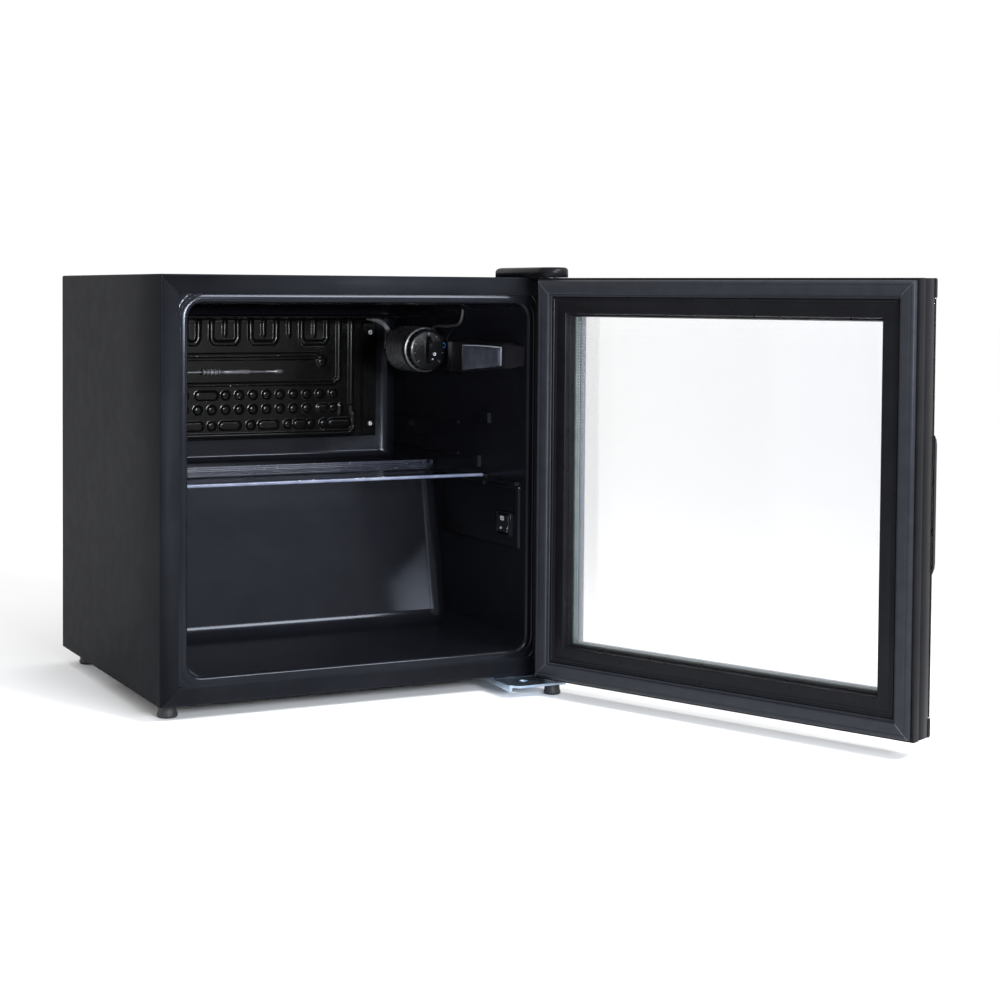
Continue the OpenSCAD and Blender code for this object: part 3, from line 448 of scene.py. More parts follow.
for kind in ("top", "left", "right", "bottom"):
    bm = new_bm()
    flange_strip(bm, kind)
    bmesh.ops.recalc_face_normals(bm, faces=bm.faces)
    o = finish_mesh("front_flange_" + kind, bm, "paint", "cabinet", angle=60)
    s = o.modifiers.new("thick", "SOLIDIFY")
    s.thickness = 0.0007
    s.offset = -1 if kind != "bottom" else -1

# back panel: pressed ribs round a flat field
bm = new_bm()
bp_lo, bp_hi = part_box("back_panel")
bx0, bx1 = bp_lo.x / MM, bp_hi.x / MM
bz0, bz1 = (bp_lo.z - OZ) / MM, (bp_hi.z - OZ) / MM
NX, NZ = 160, 92


def ridge(d, w):
    return max(0.0, 1 - abs(d) / w)


def sm(t):
    t = min(1, max(0, t))
    return t * t * (3 - 2 * t)


grid = []
for j in range(NZ + 1):
    rowv = []
    for i in range(NX + 1):
        x = bx0 + (bx1 - bx0) * i / NX
        z = bz0 + (bz1 - bz0) * j / NZ
        e = min(x - bx0, bx1 - x, z - bz0, bz1 - z)
        h = 0.5 * sm((e - 22) / 5)
        rib = min(abs(z - zr) for zr in (260, 310, 360, 410))
        h += 0.17 * sm((9 - rib) / 4) * sm((e - 40) / 12)
        y = CD - 0.72 + h
        rowv.append(bm.verts.new(row((x, y, z))))
    grid.append(rowv)
for j in range(NZ):
    for i in range(NX):
        bm.faces.new([grid[j][i], grid[j + 1][i], grid[j + 1][i + 1], grid[j][i + 1]])
finish_mesh("rear_panel_pressed", bm, "paint", "cabinet", ("back_panel",), angle=60)
bm = new_bm()
for sx in (-1, 1):
    for z in (230, 440):
        add_lathe(bm, [(0, CD - 0.2), (1.6, CD - 0.2), (2.0, CD - 0.2)], lambda a, b, t: row((sx * 225 + a, t, z + b)), 24)
        add_lathe(bm, [(0, CD - 0.05), (3.0, CD - 0.12), (3.4, CD - 0.6), (2.0, CD - 1.2)], lambda a, b, t: row((sx * 225 + a, t, z + b)), 24)
bmesh.ops.recalc_face_normals(bm, faces=bm.faces)
finish_mesh("rear_panel_screws", bm, "steel", "cabinet")

# ------------------------------------------------------------------ moulded liner
bm = new_bm()
Y0 = 4.2
prof_yz = [(Y0, 29.2), (212, 31.5), (246, 228), (362, 233), (362, 434), (Y0, 442)]
L = [bm.verts.new(row((-half_w(y), y, z))) for y, z in prof_yz]
Rr = [bm.verts.new(row((half_w(y), y, z))) for y, z in prof_yz]
for i in range(5):
    bm.faces.new([L[i], L[i + 1], Rr[i + 1], Rr[i]])
bm.faces.new(L[::-1])
bm.faces.new(Rr)
bw = bm.edges.layers.float.new("bevel_weight_edge")
W20 = 20.0


def setw(a, b, r):
    e = bm.edges.get((a, b))
    if e:
        e[bw] = r / W20


for S in (L, Rr):
    setw(S[0], S[1], 17); setw(S[1], S[2], 16); setw(S[2], S[3], 9); setw(S[3], S[4], 17); setw(S[4], S[5], 18)
setw(L[1], Rr[1], 16); setw(L[2], Rr[2], 7); setw(L[3], Rr[3], 9); setw(L[4], Rr[4], 14)
me = bpy.data.meshes.new("liner_src")
bm.to_mesh(me)
bm.free()
tmp = bpy.data.objects.new("liner_src", me)
bpy.context.scene.collection.objects.link(tmp)
m = tmp.modifiers.new("b", "BEVEL")
m.width = W20 * MM
m.offset_type = "OFFSET"
m.segments = 7
m.limit_method = "WEIGHT"
m.use_clamp_overlap = False
m.miter_outer = "MITER_SHARP"
dg = bpy.context.evaluated_depsgraph_get()
ev = bpy.data.meshes.new_from_object(tmp.evaluated_get(dg))
bpy.data.objects.remove(tmp)
bm = new_bm()
bm.from_mesh(ev)
bmesh.ops.remove_doubles(bm, verts=bm.verts, dist=0.00002)
front = OY + Y0 * MM
edges = [e for e in bm.edges if e.is_boundary and all(abs(v.co.y - front) < 2e-4 for v in e.verts)]
nxt = {}
for e in edges:
    a, b = e.verts
    nxt.setdefault(a, []).append(b)
    nxt.setdefault(b, []).append(a)
start = next(iter(nxt))
loop, prev, cur = [start], None, start
while True:
    cand = [v for v in nxt[cur] if v is not prev]
    if not cand or cand[0] is start:
        break
    prev, cur = cur, cand[0]
    loop.append(cur)
n = len(loop)
cen = sum((v.co for v in loop), Vector()) / n
norm2 = []
for i, v in enumerate(loop):
    t = (loop[(i + 1) % n].co - loop[i - 1].co)
    d = Vector((t.z, 0, -t.x)).normalized()
    if d.dot(v.co - cen) < 0:
        d = -d
    norm2.append(d)
rings = [loop]
lip = [(3.2 - 3.2 * math.cos(math.radians(a)), Y0 - 3.2 * math.sin(math.radians(a))) for a in (20, 40, 60, 80, 90)] + [(7.4, 1.0), (8.0, 1.5), (8.8, 1.5), (9.4, 1.1), (20, 1.1)]
for off, y in lip:
    rings.append([bm.verts.new(Vector((v.co.x, OY + y * MM, v.co.z)) + d * off * MM) for v, d in zip(loop, norm2)])
for A, B in zip(rings, rings[1:]):
    for i in range(n):
        j = (i + 1) % n
        try:
            bm.faces.new([A[i], A[j], B[j], B[i]])
        except ValueError:
            pass
bmesh.ops.recalc_face_normals(bm, faces=bm.faces)
liner = finish_mesh("liner_shell", bm, "liner", "cabinet", ("inner_liner",), angle=50)
s = liner.modifiers.new("thick", "SOLIDIFY")
s.thickness = 0.0016
s.offset = 0
LINER_CHECK = liner

# runners, stops and clips moulded on the side walls
bm = new_bm()


def runner(s, y0, y1, z0, z1, p):
    o = [(y0, half_w(y0) - 0.0 + 1), (y1, half_w(y1) + 1), (y1 - 3, half_w(y1) - p), (y0 + 3, half_w(y0) - p)]
    add_prism(bm, o, lambda u, v, t: row((s * v, u, t)), z0, z1)


for s_ in (-1, 1):
    runner(s_, 16 if s_ > 0 else 40, 240, 223, 228, 6)
    runner(s_, 165, 340, 249.5, 253, 3.4)
    runner(s_, 109, 127, 238, 253, 4.8)
    runner(s_, 165, 335, 288.5, 292, 3.4)
    runner(s_, 85, 114, 294, 307, 4.8)
    runner(s_, 93, 103, 218, 231, 5.2)
bmesh.ops.recalc_face_normals(bm, faces=bm.faces)
o = finish_mesh("liner_runners", bm, "liner", "cabinet", angle=30)
add_mods(o, 1.1, 3)

# drain groove in the floor: a slim rounded rim
bm = new_bm()


def stadium(x0, x1, yc, r, k=8):
    return [(x1 + r * math.cos(math.radians(a)), yc + r * math.sin(math.radians(a))) for a in [-90 + 180 * i / k for i in range(k + 1)]] + \
           [(x0 + r * math.cos(math.radians(a)), yc + r * math.sin(math.radians(a))) for a in [90 + 180 * i / k for i in range(k + 1)]]


def floor_z(y):
    return 29.2 + 2.3 * (y - Y0) / (212 - Y0)


st = stadium(-160, 168, 61, 2.2)
prof_g = [(0.0, -0.2), (0.0, 0.35), (0.5, 0.75), (1.1, 0.35), (1.1, -0.4)]
cols = []
for i, (x, y) in enumerate(st):
    a, b = st[i - 1], st[(i + 1) % len(st)]
    t = Vector((b[0] - a[0], b[1] - a[1])).normalized()
    nv = Vector((t.y, -t.x))
    cols.append([bm.verts.new(row((x + nv.x * (0.9 - q), y + nv.y * (0.9 - q), floor_z(y) + h))) for q, h in prof_g])
for i in range(len(cols)):
    A, B = cols[i], cols[(i + 1) % len(cols)]
    for j in range(len(prof_g) - 1):
        bm.faces.new([A[j], B[j], B[j + 1], A[j + 1]])
bmesh.ops.recalc_face_normals(bm, faces=bm.faces)
finish_mesh("floor_groove_rim", bm, "liner", "cabinet", angle=60)

# ------------------------------------------------------------------ evaporator: roll-formed plate with raised channels and dimples
EY = 350.4
feat = []


def seg(x0, z0, x1, z1, r, h):
    feat.append((x0, z0, x1, z1, r, h))


def bar(i):
    return -78.8 + 17.8 * i


TOP = 560
ZB = 412.0
for i in (-3, -2, -1, 0, 1, 3, 4, 6, 8, 10):
    seg(bar(i), TOP, bar(i), 392, 2.5, 2.3)
for i in (2, 5, 9, 7):
    seg(bar(i), TOP, bar(i), 397, 2.1, 1.9)
for a, b in ((-3, -2), (-1, 0), (1, 3), (4, 6), (8, 10)):
    xa, xb = bar(a), bar(b)
    seg(xa, 392, xa + 4, 386.5, 2.5, 2.3)
    seg(xa + 4, 386.5, xb - 4, 386.5, 2.5, 2.3)
    seg(xb - 4, 386.5, xb, 392, 2.5, 2.3)
seg(bar(11), TOP, bar(11), 338, 2.6, 2.3)
seg(bar(12), TOP, bar(12), 306, 2.6, 2.3)
seg(-150, 371.3, 84, 371.3, 1.5, 1.3)
seg(-150, 366.6, 84, 366.6, 1.7, 1.9)
seg(84, 371.3, 98, 364, 1.5, 1.3)
seg(84, 366.6, 90, 362, 1.5, 1.3)
seg(92.5, 361, 92.5, 361, 5.5, 2.2)
seg(-146, 333, 110, 333, 1.7, 1.6)
seg(110, 333, 113.5, 338, 1.7, 1.6)
seg(-150, 266.8, 132, 266.8, 1.9, 1.8)
seg(132, 266.8, 138.5, 273, 1.9, 1.8)
seg(138.5, 273, 138.5, 292, 1.9, 1.5)
px0 = -79.5
P = 18.8
row1 = [px0 + P * k for k in range(2, 11)]
row2 = [px0 + P * k for k in range(0, 9)] + [px0 + P * 10]
row3 = [px0 + P * 1, px0 + P * 3.85, px0 + P * 6.6, px0 + P * 8.3, px0 + P * 9.3]
for x in row1:
    seg(x, 319, x, 319, 5.4, 2.3)
for x in row2:
    seg(x, 300.3, x, 300.3, 5.4, 2.3)
for x in row3:
    seg(x, 279.7, x, 279.7, 5.4, 2.3)
seg(px0 + 2, 319, px0 + P * 1.15, 319, 5.4, 2.2)
seg(px0 + P * 9.05, 300.3, px0 + P * 9.4, 300.3, 4.8, 1.2)
for a, b in ((-0.9, 0.1), (1.85, 2.8), (4.7, 5.6), (7.3, 7.7), (9.95, 11.1)):
    seg(px0 + P * a, 279.7, px0 + P * b, 279.7, 5.4, 2.1)
for k in range(0, 4):
    for z in (319, 300.3, 279.7):
        if not (z == 279.7 and k == 0):
            seg(px0 - P * (k + 1), z, px0 - P * (k + 1), z, 5.4, 2.3)
for x in (bar(11) - 1.5, bar(12) - 2.5):
    seg(x + 4, 303, x + 4, 292, 2.2, 1.0)


def height(x, z):
    h = 0.0
    for x0, z0, x1, z1, r, H in feat:
        if x < min(x0, x1) - r - 1.6 or x > max(x0, x1) + r + 1.6 or z < min(z0, z1) - r - 1.6 or z > max(z0, z1) + r + 1.6:
            continue
        dx, dz = x1 - x0, z1 - z0
        q = dx * dx + dz * dz
        t = 0 if q == 0 else min(1, max(0, ((x - x0) * dx + (z - z0) * dz) / q))
        d = math.hypot(x - x0 - t * dx, z - z0 - t * dz)
        h = max(h, H * sm((r + 1.2 - d) / 2.6))
    # a shallow step from the flat rim to the worked field
    e = min(x + 150, 150 - x)
    return h + 0.5 * sm((e + 2) / 3) * (1 if z > 262 else 0)


bm = new_bm()
step = 1.3
xs = [-172 + step * i for i in range(int(344 / step) + 1)]
RBEND = 12.0
LV = ZB - 262
LB = RBEND * math.pi / 2
LH = (EY - RBEND) - 200
ss = [step * i for i in range(int((LV + LB) / step) + 2)]
ss += [ss[-1] + 3.0 * (i + 1) for i in range(int((LV + LB + LH - ss[-1]) / 3.0))]
grid = []
for s in ss:
    r_ = []
    for x in xs:
        if s <= LV:
            z = 262 + s
            h = height(x, z)
            p = (x, EY - h, z)
        elif s <= LV + LB:
            a = (s - LV) / RBEND
            h = height(x, ZB + (s - LV))
            rr = RBEND - h
            p = (x, EY - RBEND + rr * math.cos(a), ZB + rr * math.sin(a))
        else:
            u = s - LV - LB
            h = height(x, ZB + LB + u)
            p = (x, EY - RBEND - u, ZB + RBEND - h)
        r_.append(bm.verts.new(row(p)))
    grid.append(r_)
for A, B in zip(grid, grid[1:]):
    for i in range(len(xs) - 1):
        bm.faces.new([A[i], A[i + 1], B[i + 1], B[i]])
bmesh.ops.recalc_face_normals(bm, faces=bm.faces)
evap = finish_mesh("evaporator_relief", bm, "evap", "cabinet", ("evaporator_plate",), angle=70)
s = evap.modifiers.new("thick", "SOLIDIFY")
s.thickness = 0.0012
s.offset = -1

# punched holes in the plate's side flange and the sensor clipped on its face
bm = new_bm()
for sx in (-1, 1):
    for z in (361, 337, 310):
        add_lathe(bm, [(0, EY - 0.25), (1.7, EY - 0.25), (2.1, EY - 0.75), (2.6, EY - 0.5), (2.9, EY - 0.1)], lambda a, b, t: row((sx * 164 + a, t, z + b)), 20)
bmesh.ops.recalc_face_normals(bm, faces=bm.faces)
finish_mesh("plate_rivets", bm, "evap", "cabinet")
bm = new_bm()
zs = 349.5
ys_ = EY - 5.0
prof_s = [(0, -76)]
for k in range(5):
    x = -75 + 5.2 * k
    prof_s += [(3.0, x), (4.3, x + 0.8), (4.3, x + 2.8), (3.0, x + 3.8)]
prof_s += [(2.2, -48), (2.9, -44), (2.9, -12), (1.8, -8), (1.8, 22), (2.8, 26), (2.8, 33), (1.6, 36), (0, 37)]
add_lathe(bm, prof_s, lambda a, b, t: row((t, ys_ + a, zs + b)), 20)
add_tube(bm, smooth_path([(-76, ys_, zs), (-100, ys_, zs), (-112, ys_, zs + 4), (-112, ys_, zs - 6), (-98, ys_, zs - 4)], 6), 1.4, 10)
bmesh.ops.recalc_face_normals(bm, faces=bm.faces)
finish_mesh("plate_sensor", bm, "sensor", "cabinet", angle=40)

# ------------------------------------------------------------------ thermostat, lamp housing and lens
DX, DZ = joints["thermostat_turn"]["pos_m"][0] / MM, (joints["thermostat_turn"]["pos_m"][2] - OZ) / MM
bm = new_bm()
DR = 29.0


def drum_pt(a, b, t):
    x, z = DX + a, DZ + b
    return row((min(x, half_w(t) - 0.3), t, z))


prof_d = [(5, 208), (DR - 5.5, 208), (DR - 4.6, 207.2), (DR - 4.2, 206.4), (DR - 1.2, 206.2), (DR - 0.4, 206.7), (DR, 207.8), (DR, 213)]
for k in range(11):
    y = 215 + 4.4 * k
    prof_d += [(DR, y), (DR - 0.9, y + 0.7), (DR - 0.9, y + 1.7), (DR, y + 2.4)]
prof_d += [(DR, 266), (DR - 1.0, 270), (DR - 4, 272), (0, 272)]
add_lathe(bm, prof_d, drum_pt, 72)
bmesh.ops.recalc_face_normals(bm, faces=bm.faces)
finish_mesh("thermostat_drum", bm, "drum", "cabinet", ("thermostat_housing",), angle=50)

bm = new_bm()
BX = 195.0
side = [(8, half_w(8) - 1.2), (8, half_w(8) + 0.5), (184, half_w(184) + 0.5), (184, BX + 2.5), (181, BX), (36, BX)]


def low_z(y):
    return DZ - (14 + 5 * (y - 8) / 28 if y < 36 else 19 + 9 * min(1, (y - 36) / 110))


def high_z(y):
    return DZ + (9 + 4 * (y - 8) / 28 if y < 36 else 13)


ys = [8, 14, 22, 30, 36, 60, 84, 108, 132, 146, 165, 181, 184]
cols = []
for y in ys:
    xf = BX + (half_w(8) - 1.2 - BX) * max(0, (36 - y)) / 28 if y < 36 else (BX if y <= 181 else BX + 2.5)
    xw = half_w(y) + 0.5
    z0, z1 = low_z(y), high_z(y)
    r = min(3.0, max(0.4, (xw - xf) * 0.3))
    pts = [(xw, z0)] + arc(xf + r, z0 + r, r, 270, 180, 4) + arc(xf + r, z1 - r, r, 180, 90, 4) + [(xw, z1)]
    cols.append([bm.verts.new(row((x, y, z))) for x, z in pts])
for A, B in zip(cols, cols[1:]):
    for i in range(len(A) - 1):
        bm.faces.new([A[i], A[i + 1], B[i + 1], B[i]])
bm.faces.new(cols[0])
bm.faces.new(cols[-1][::-1])
bmesh.ops.recalc_face_normals(bm, faces=bm.faces)
finish_mesh("lamp_housing", bm, "dial_case", "cabinet", angle=50)

# neck between the drum and the wall
bm = new_bm()
add_prism(bm, [(y, z) for y, z in ((207, DZ - 17), (270, DZ - 17), (270, DZ + 17), (207, DZ + 17))], lambda u, v, t: row((t, u, v)), DX + 14, half_w(240) - 0.4)
bmesh.ops.recalc_face_normals(bm, faces=bm.faces)
o = finish_mesh("thermostat_neck", bm, "dial_case", "cabinet")
add_mods(o, 1.5)

# lens: bowed, with fine vertical ribs; its bright top edge is the separate rim below, whose pale colour is a painted
# highlight
bm = new_bm()
lens_y = [36.5 + 103 * i / 52 for i in range(53)]
cols = []
for k, y in enumerate(lens_y):
    f = (y - 36.5) / 103
    z0 = DZ - 15 - 9 * f + 0.4
    z1 = DZ + 7.6
    col = []
    for i in range(15):
        v = i / 14
        z = z0 + (z1 - z0) * v
        edge = min(f, 1 - f) * 103
        e2 = min(v, 1 - v) * (z1 - z0)
        bow = 1.7 * sm(edge / 5) * sm(e2 / 4)
        rib = 0.18 * math.cos(2 * math.pi * y / 4.2) * sm(edge / 6) * sm(e2 / 5)
        col.append(bm.verts.new(row((BX + 0.2 - bow - rib, y, z))))
    cols.append(col)
for A, B in zip(cols, cols[1:]):
    for i in range(14):
        bm.faces.new([A[i], A[i + 1], B[i + 1], B[i]])
bmesh.ops.recalc_face_normals(bm, faces=bm.faces)
o = finish_mesh("lamp_cover_lens", bm, "lens", "cabinet", ("lamp_lens",), angle=70)
o.modifiers.new("thick", "SOLIDIFY").thickness = 0.0012
o.modifiers["thick"].offset = -1

# dial with a grip bar, fluted rim, ticks and a pointer dot
bm = new_bm()
DKR = 27.0
NK = 120


def knob_pt(a, b, t):
    return row((DX + a, t, DZ + b))


prof_k = [(0, 195.2, 0), (DKR - 6, 195.2, 0), (DKR - 3.0, 195.5, 0), (DKR - 1.2, 196.4, 0.3), (DKR - 0.5, 197.6, 1), (DKR - 0.4, 204.6, 1), (DKR - 1.2, 205.3, 0.4), (0, 205.3, 0)]
rings = []
for r, t, fl in prof_k:
    if r == 0:
        rings.append([bm.verts.new(knob_pt(0, 0, t))])
        continue
    ring = []
    for k in range(NK):
        a = 2 * math.pi * k / NK
        rr = r - 0.55 * fl * (0.5 - 0.5 * math.cos(24 * a))
        ring.append(bm.verts.new(knob_pt(rr * math.cos(a), rr * math.sin(a), t)))
    rings.append(ring)
for A, B in zip(rings, rings[1:]):
    for k in range(NK):
        k2 = (k + 1) % NK
        if len(A) == 1:
            bm.faces.new([A[0], B[k2], B[k]])
        elif len(B) == 1:
            bm.faces.new([A[k], A[k2], B[0]])
        else:
            bm.faces.new([A[k], A[k2], B[k2], B[k]])
gz = [-17, -15.5, -12, -6, 0, 6, 12, 15.5, 17]
cols = []
for z in gz:
    f = 1 - (abs(z) / 17) ** 4
    w = 3.6 * (0.75 + 0.25 * f)
    top = 195.2 - 7.0 * (0.25 + 0.75 * f)
    pts = [(-w - 0.8, 195.6), (-w, 194.4), (-w + 0.6, top + 1.2), (-w + 1.6, top), (w - 1.6, top), (w - 0.6, top + 1.2), (w, 194.4), (w + 0.8, 195.6)]
    cols.append([bm.verts.new(row((DX + u, v, DZ + z))) for u, v in pts])
for A, B in zip(cols, cols[1:]):
    for i in range(len(A) - 1):
        bm.faces.new([A[i], A[i + 1], B[i + 1], B[i]])
bm.faces.new(cols[0])
bm.faces.new(cols[-1][::-1])
bmesh.ops.recalc_face_normals(bm, faces=bm.faces)
finish_mesh("dial_knob", bm, "dial", "thermostat_dial", ("thermostat_knob",), angle=40)
bm = new_bm()
for k in range(9):
    a = math.radians(-45 + k * 33.75)
    if 20 < math.degrees(a) % 360 < 25:
        continue
    c, s_ = math.cos(a), math.sin(a)
    r0, r1, w = 18.5, 22.5 if k % 2 == 0 else 21, 0.55
    pts = [(r0, -w), (r1, -w), (r1, w), (r0, w)]
    add_prism(bm, pts, lambda u, v, t: row((DX + u * c - v * s_, t, DZ + u * s_ + v * c)), 195.0, 195.35)
bmesh.ops.recalc_face_normals(bm, faces=bm.faces)
finish_mesh("dial_ticks", bm, "sensor", "thermostat_dial", flat=True)
bm = new_bm()
crescent = [(3.6 * math.cos(math.radians(a)), 3.6 * math.sin(math.radians(a))) for a in range(-100, 101, 20)]
crescent += [(0.8 + 2.2 * math.cos(math.radians(a)), 2.2 * math.sin(math.radians(a))) for a in range(100, -101, -20)]
add_prism(bm, crescent, lambda u, v, t: row((DX + 20.5 + u, t, DZ + 5.5 + v)), 194.85, 195.35)
bmesh.ops.recalc_face_normals(bm, faces=bm.faces)
finish_mesh("dial_pointer", bm, "mark_blue", "thermostat_dial", flat=True)
bm = new_bm()
for cx_, cz_, r_o, r_i in ((8.4, -5.5, 2.0, 1.1), (5.6, -12.0, 0.9, 0.4), (4.6, -4.6, 0.8, 0.3)):
    ringm = [(r_o * math.cos(math.radians(a)), r_o * math.sin(math.radians(a))) for a in range(-170, 171, 20)]
    ringm += [(r_i * math.cos(math.radians(a)), r_i * math.sin(math.radians(a))) for a in range(170, -171, -20)]
    add_prism(bm, ringm, lambda u, v, t: row((DX + cx_ + u, t, DZ + cz_ + v)), 194.8, 195.3)
bmesh.ops.recalc_face_normals(bm, faces=bm.faces)
finish_mesh("dial_marks", bm, "mark_white", "thermostat_dial", flat=True)
# pale rim along the lens's upper edge: its pale colour is a painted highlight standing in for the bright edge of the
# lens
bm = new_bm()
add_tube(bm, [(BX - 1.3 + 0.9 * (abs(y - 88) / 51.5) ** 4, y, DZ + 8.0 - 0.9 * ((y - 88) / 51.5) ** 2) for y in [36.5 + 103 * i / 24 for i in range(25)]], 0.75, 10)
bmesh.ops.recalc_face_normals(bm, faces=bm.faces)
finish_mesh("lamp_lens_painted_highlight", bm, "rim_painted_highlight", "cabinet", angle=60)

# ground front edge of the glass shelf
bm = new_bm()
gs_lo, gs_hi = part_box("glass_shelf")
gx0, gx1 = gs_lo.x / MM + 5, gs_hi.x / MM - 5
gy = (gs_lo.y - OY) / MM
gza, gzb = (gs_lo.z - OZ) / MM, (gs_hi.z - OZ) / MM
add_prism(bm, [(gy + 1.2, gza + 0.1), (gy + 0.2, gza + 0.5), (gy - 0.05, gza + 1.2), (gy - 0.05, gzb - 1.2), (gy + 0.2, gzb - 0.5), (gy + 1.2, gzb - 0.1)], lambda u, v, t: row((t, u, v)), gx0, gx1)
bmesh.ops.recalc_face_normals(bm, faces=bm.faces)
finish_mesh("shelf_front_edge", bm, "shelf_edge", "shelf", angle=50)

# ------------------------------------------------------------------ door
FY = -6.5                      # inner face of the closed door, and depths are measured from it towards the outside
dz0, dz1 = 0.5, CH - 0.5
RECT = (-HW, HW, dz0, dz1)


def in_face(x, z, h):
    return (x, FY + h, z)


def out_face(x, z, u):
    return (x, FY - u, z)


# seal: bellows profile with a magnet pocket, mitred at the corners
gask = [(2.9, 0.1), (2.9, 1.2), (2.5, 2.0), (2.6, 2.9), (3.1, 3.6), (3.4, 4.3), (4.3, 5.2), (5.4, 5.85), (6.4, 5.95), (7.1, 5.75), (7.6, 5.35), (8.1, 5.75), (8.9, 5.95),
        (12.5, 5.85), (16.2, 5.9), (17.6, 5.7), (18.7, 5.1), (19.3, 4.2), (19.2, 3.3), (18.6, 2.7), (18.9, 2.1), (20.2, 2.0), (21.2, 1.6), (21.6, 0.9), (21.5, 0.1)]
bm = new_bm()
add_ring(bm, RECT, gask, door_row, closed=True, face_fn=in_face)
bmesh.ops.recalc_face_normals(bm, faces=bm.faces)
seal = finish_mesh("seal_bellows", bm, "seal", "door", ("door_gasket",), angle=55)
add_mods(seal, None)

# weld lines at the seal's mitred corners
bm = new_bm()
for sx, sz in ((0, 0), (1, 0), (1, 1), (0, 1)):
    pts = []
    for n, h in gask[6:18]:
        x = -HW + n if sx == 0 else HW - n
        z = dz0 + n if sz == 0 else dz1 - n
        pts.append((x, FY + h + 0.02, z))
    add_tube(bm, pts, 0.28, 6, door_row)
bmesh.ops.recalc_face_normals(bm, faces=bm.faces)
finish_mesh("seal_welds", bm, "seal_weld", "door")

# inner frame: rolled outer edge, slot for the seal, raised lip, flat face, bead round the glass, side step
inner = [(0.9, -12.7), (0.05, -12.2), (0.0, -11.4), (0.0, -1.6), (0.35, -0.6), (1.3, -0.05), (2.2, 0.0), (21.9, 0.0), (22.2, 0.7), (22.8, 1.25), (23.7, 1.3), (24.4, 0.8),
         (24.8, 0.1), (27.6, 0.0), (28.2, -0.35), (28.9, 0.0), (38.9, 0.0), (39.5, 0.25), (40.2, 0.2), (40.8, -0.3), (41.1, -1.2), (42.3, -6.4), (42.7, -6.6), (42.9, -6.2), (43.3, -6.1), (43.7, -6.6), (44.8, -11.4), (45.0, -12.2), (45.0, -12.75), (38.0, -12.75)]
bm = new_bm()
add_ring(bm, RECT, inner, door_row, closed=True, face_fn=in_face)
bmesh.ops.recalc_face_normals(bm, faces=bm.faces)
finish_mesh("door_frame_inner", bm, "gloss_trim", "door", ("door_inner_frame",), angle=40)

# outer frame: side walls with a shadow step behind the inner frame
outerp = [(2.2, -12.75), (1.5, -12.9), (0.9, -13.4), (0.45, -14.2), (0.45, -33.0), (1.0, -33.9), (2.0, -34.0), (39.9, -34.0), (39.9, -12.75)]
bm = new_bm()
add_ring(bm, RECT, outerp, door_row, closed=True, face_fn=in_face)
bmesh.ops.recalc_face_normals(bm, faces=bm.faces)
finish_mesh("door_frame_outer", bm, "gloss_trim", "door", ("door_outer_frame",), angle=40)

# glass spacer: a pale bead at the inner pane, punched metal, then the blue sealant behind it
for nm, mt, sec in (("spacer_front_bead", "spacer", [(39.9, -16.05), (44.7, -16.05), (45.0, -16.4), (45.0, -17.6), (39.9, -17.6)]),
                    ("spacer_metal", "spacer", [(39.9, -17.6), (44.9, -17.6), (45.0, -17.8), (45.0, -23.2), (44.8, -23.5), (39.9, -23.5)]),
                    ("spacer_sealant", "sealant", [(39.9, -23.5), (44.5, -23.5), (44.8, -24.0), (44.8, -33.4), (44.4, -33.9), (39.9, -33.9)])):
    bm = new_bm()
    add_ring(bm, RECT, sec, door_row, closed=True, face_fn=in_face)
    bmesh.ops.recalc_face_normals(bm, faces=bm.faces)
    finish_mesh(nm, bm, mt, "door", ("glass_spacer",) if nm == "spacer_metal" else (), angle=40)
# punched dots along the visible faces of the spacer
bm = new_bm()
x0, x1, z0, z1 = -HW + 45.05, HW - 45.05, dz0 + 45.05, dz1 - 45.05


def dot(p, u, v):
    c = [Vector(p) + Vector(u) * (0.8 * math.cos(a)) + Vector(v) * (0.55 * math.sin(a)) for a in [2 * math.pi * k / 6 for k in range(6)]]
    bm.faces.new([bm.verts.new(door_row(tuple(q))) for q in c])


for yy in (FY - 22.2,):
    z = z0 + 4
    while z < z1 - 3:
        dot((x0, yy, z), (0, 1, 0), (0, 0, 1))
        dot((x1, yy, z), (0, 1, 0), (0, 0, 1))
        z += 3.4
    x = x0 + 4
    while x < x1 - 3:
        dot((x, yy, z0), (0, 1, 0), (1, 0, 0))
        dot((x, yy, z1), (0, 1, 0), (1, 0, 0))
        x += 3.4
finish_mesh("spacer_perforation", bm, "dot_dark", "door", flat=True)

# a printed dark border on the outer pane hides the frame from the front
bm = new_bm()
UG = 34 + 3.45


def add_flat_ring(bm_, ra, rb, y):
    A = [(ra[0], y, ra[2]), (ra[1], y, ra[2]), (ra[1], y, ra[3]), (ra[0], y, ra[3])]
    B = [(rb[0], y, rb[2]), (rb[1], y, rb[2]), (rb[1], y, rb[3]), (rb[0], y, rb[3])]
    va = [bm_.verts.new(door_row(p)) for p in A]
    vb = [bm_.verts.new(door_row(p)) for p in B]
    for i in range(4):
        j = (i + 1) % 4
        bm_.faces.new([va[i], va[j], vb[j], vb[i]])


add_flat_ring(bm, (-HW + 0.9, HW - 0.9, dz0 + 20.4, dz1 - 20.4), (-HW + 42.8, HW - 42.8, dz0 + 42.8, dz1 - 42.8), FY - 37.56)
bmesh.ops.recalc_face_normals(bm, faces=bm.faces)
finish_mesh("glass_border_print", bm, "print_black", "door", flat=True)

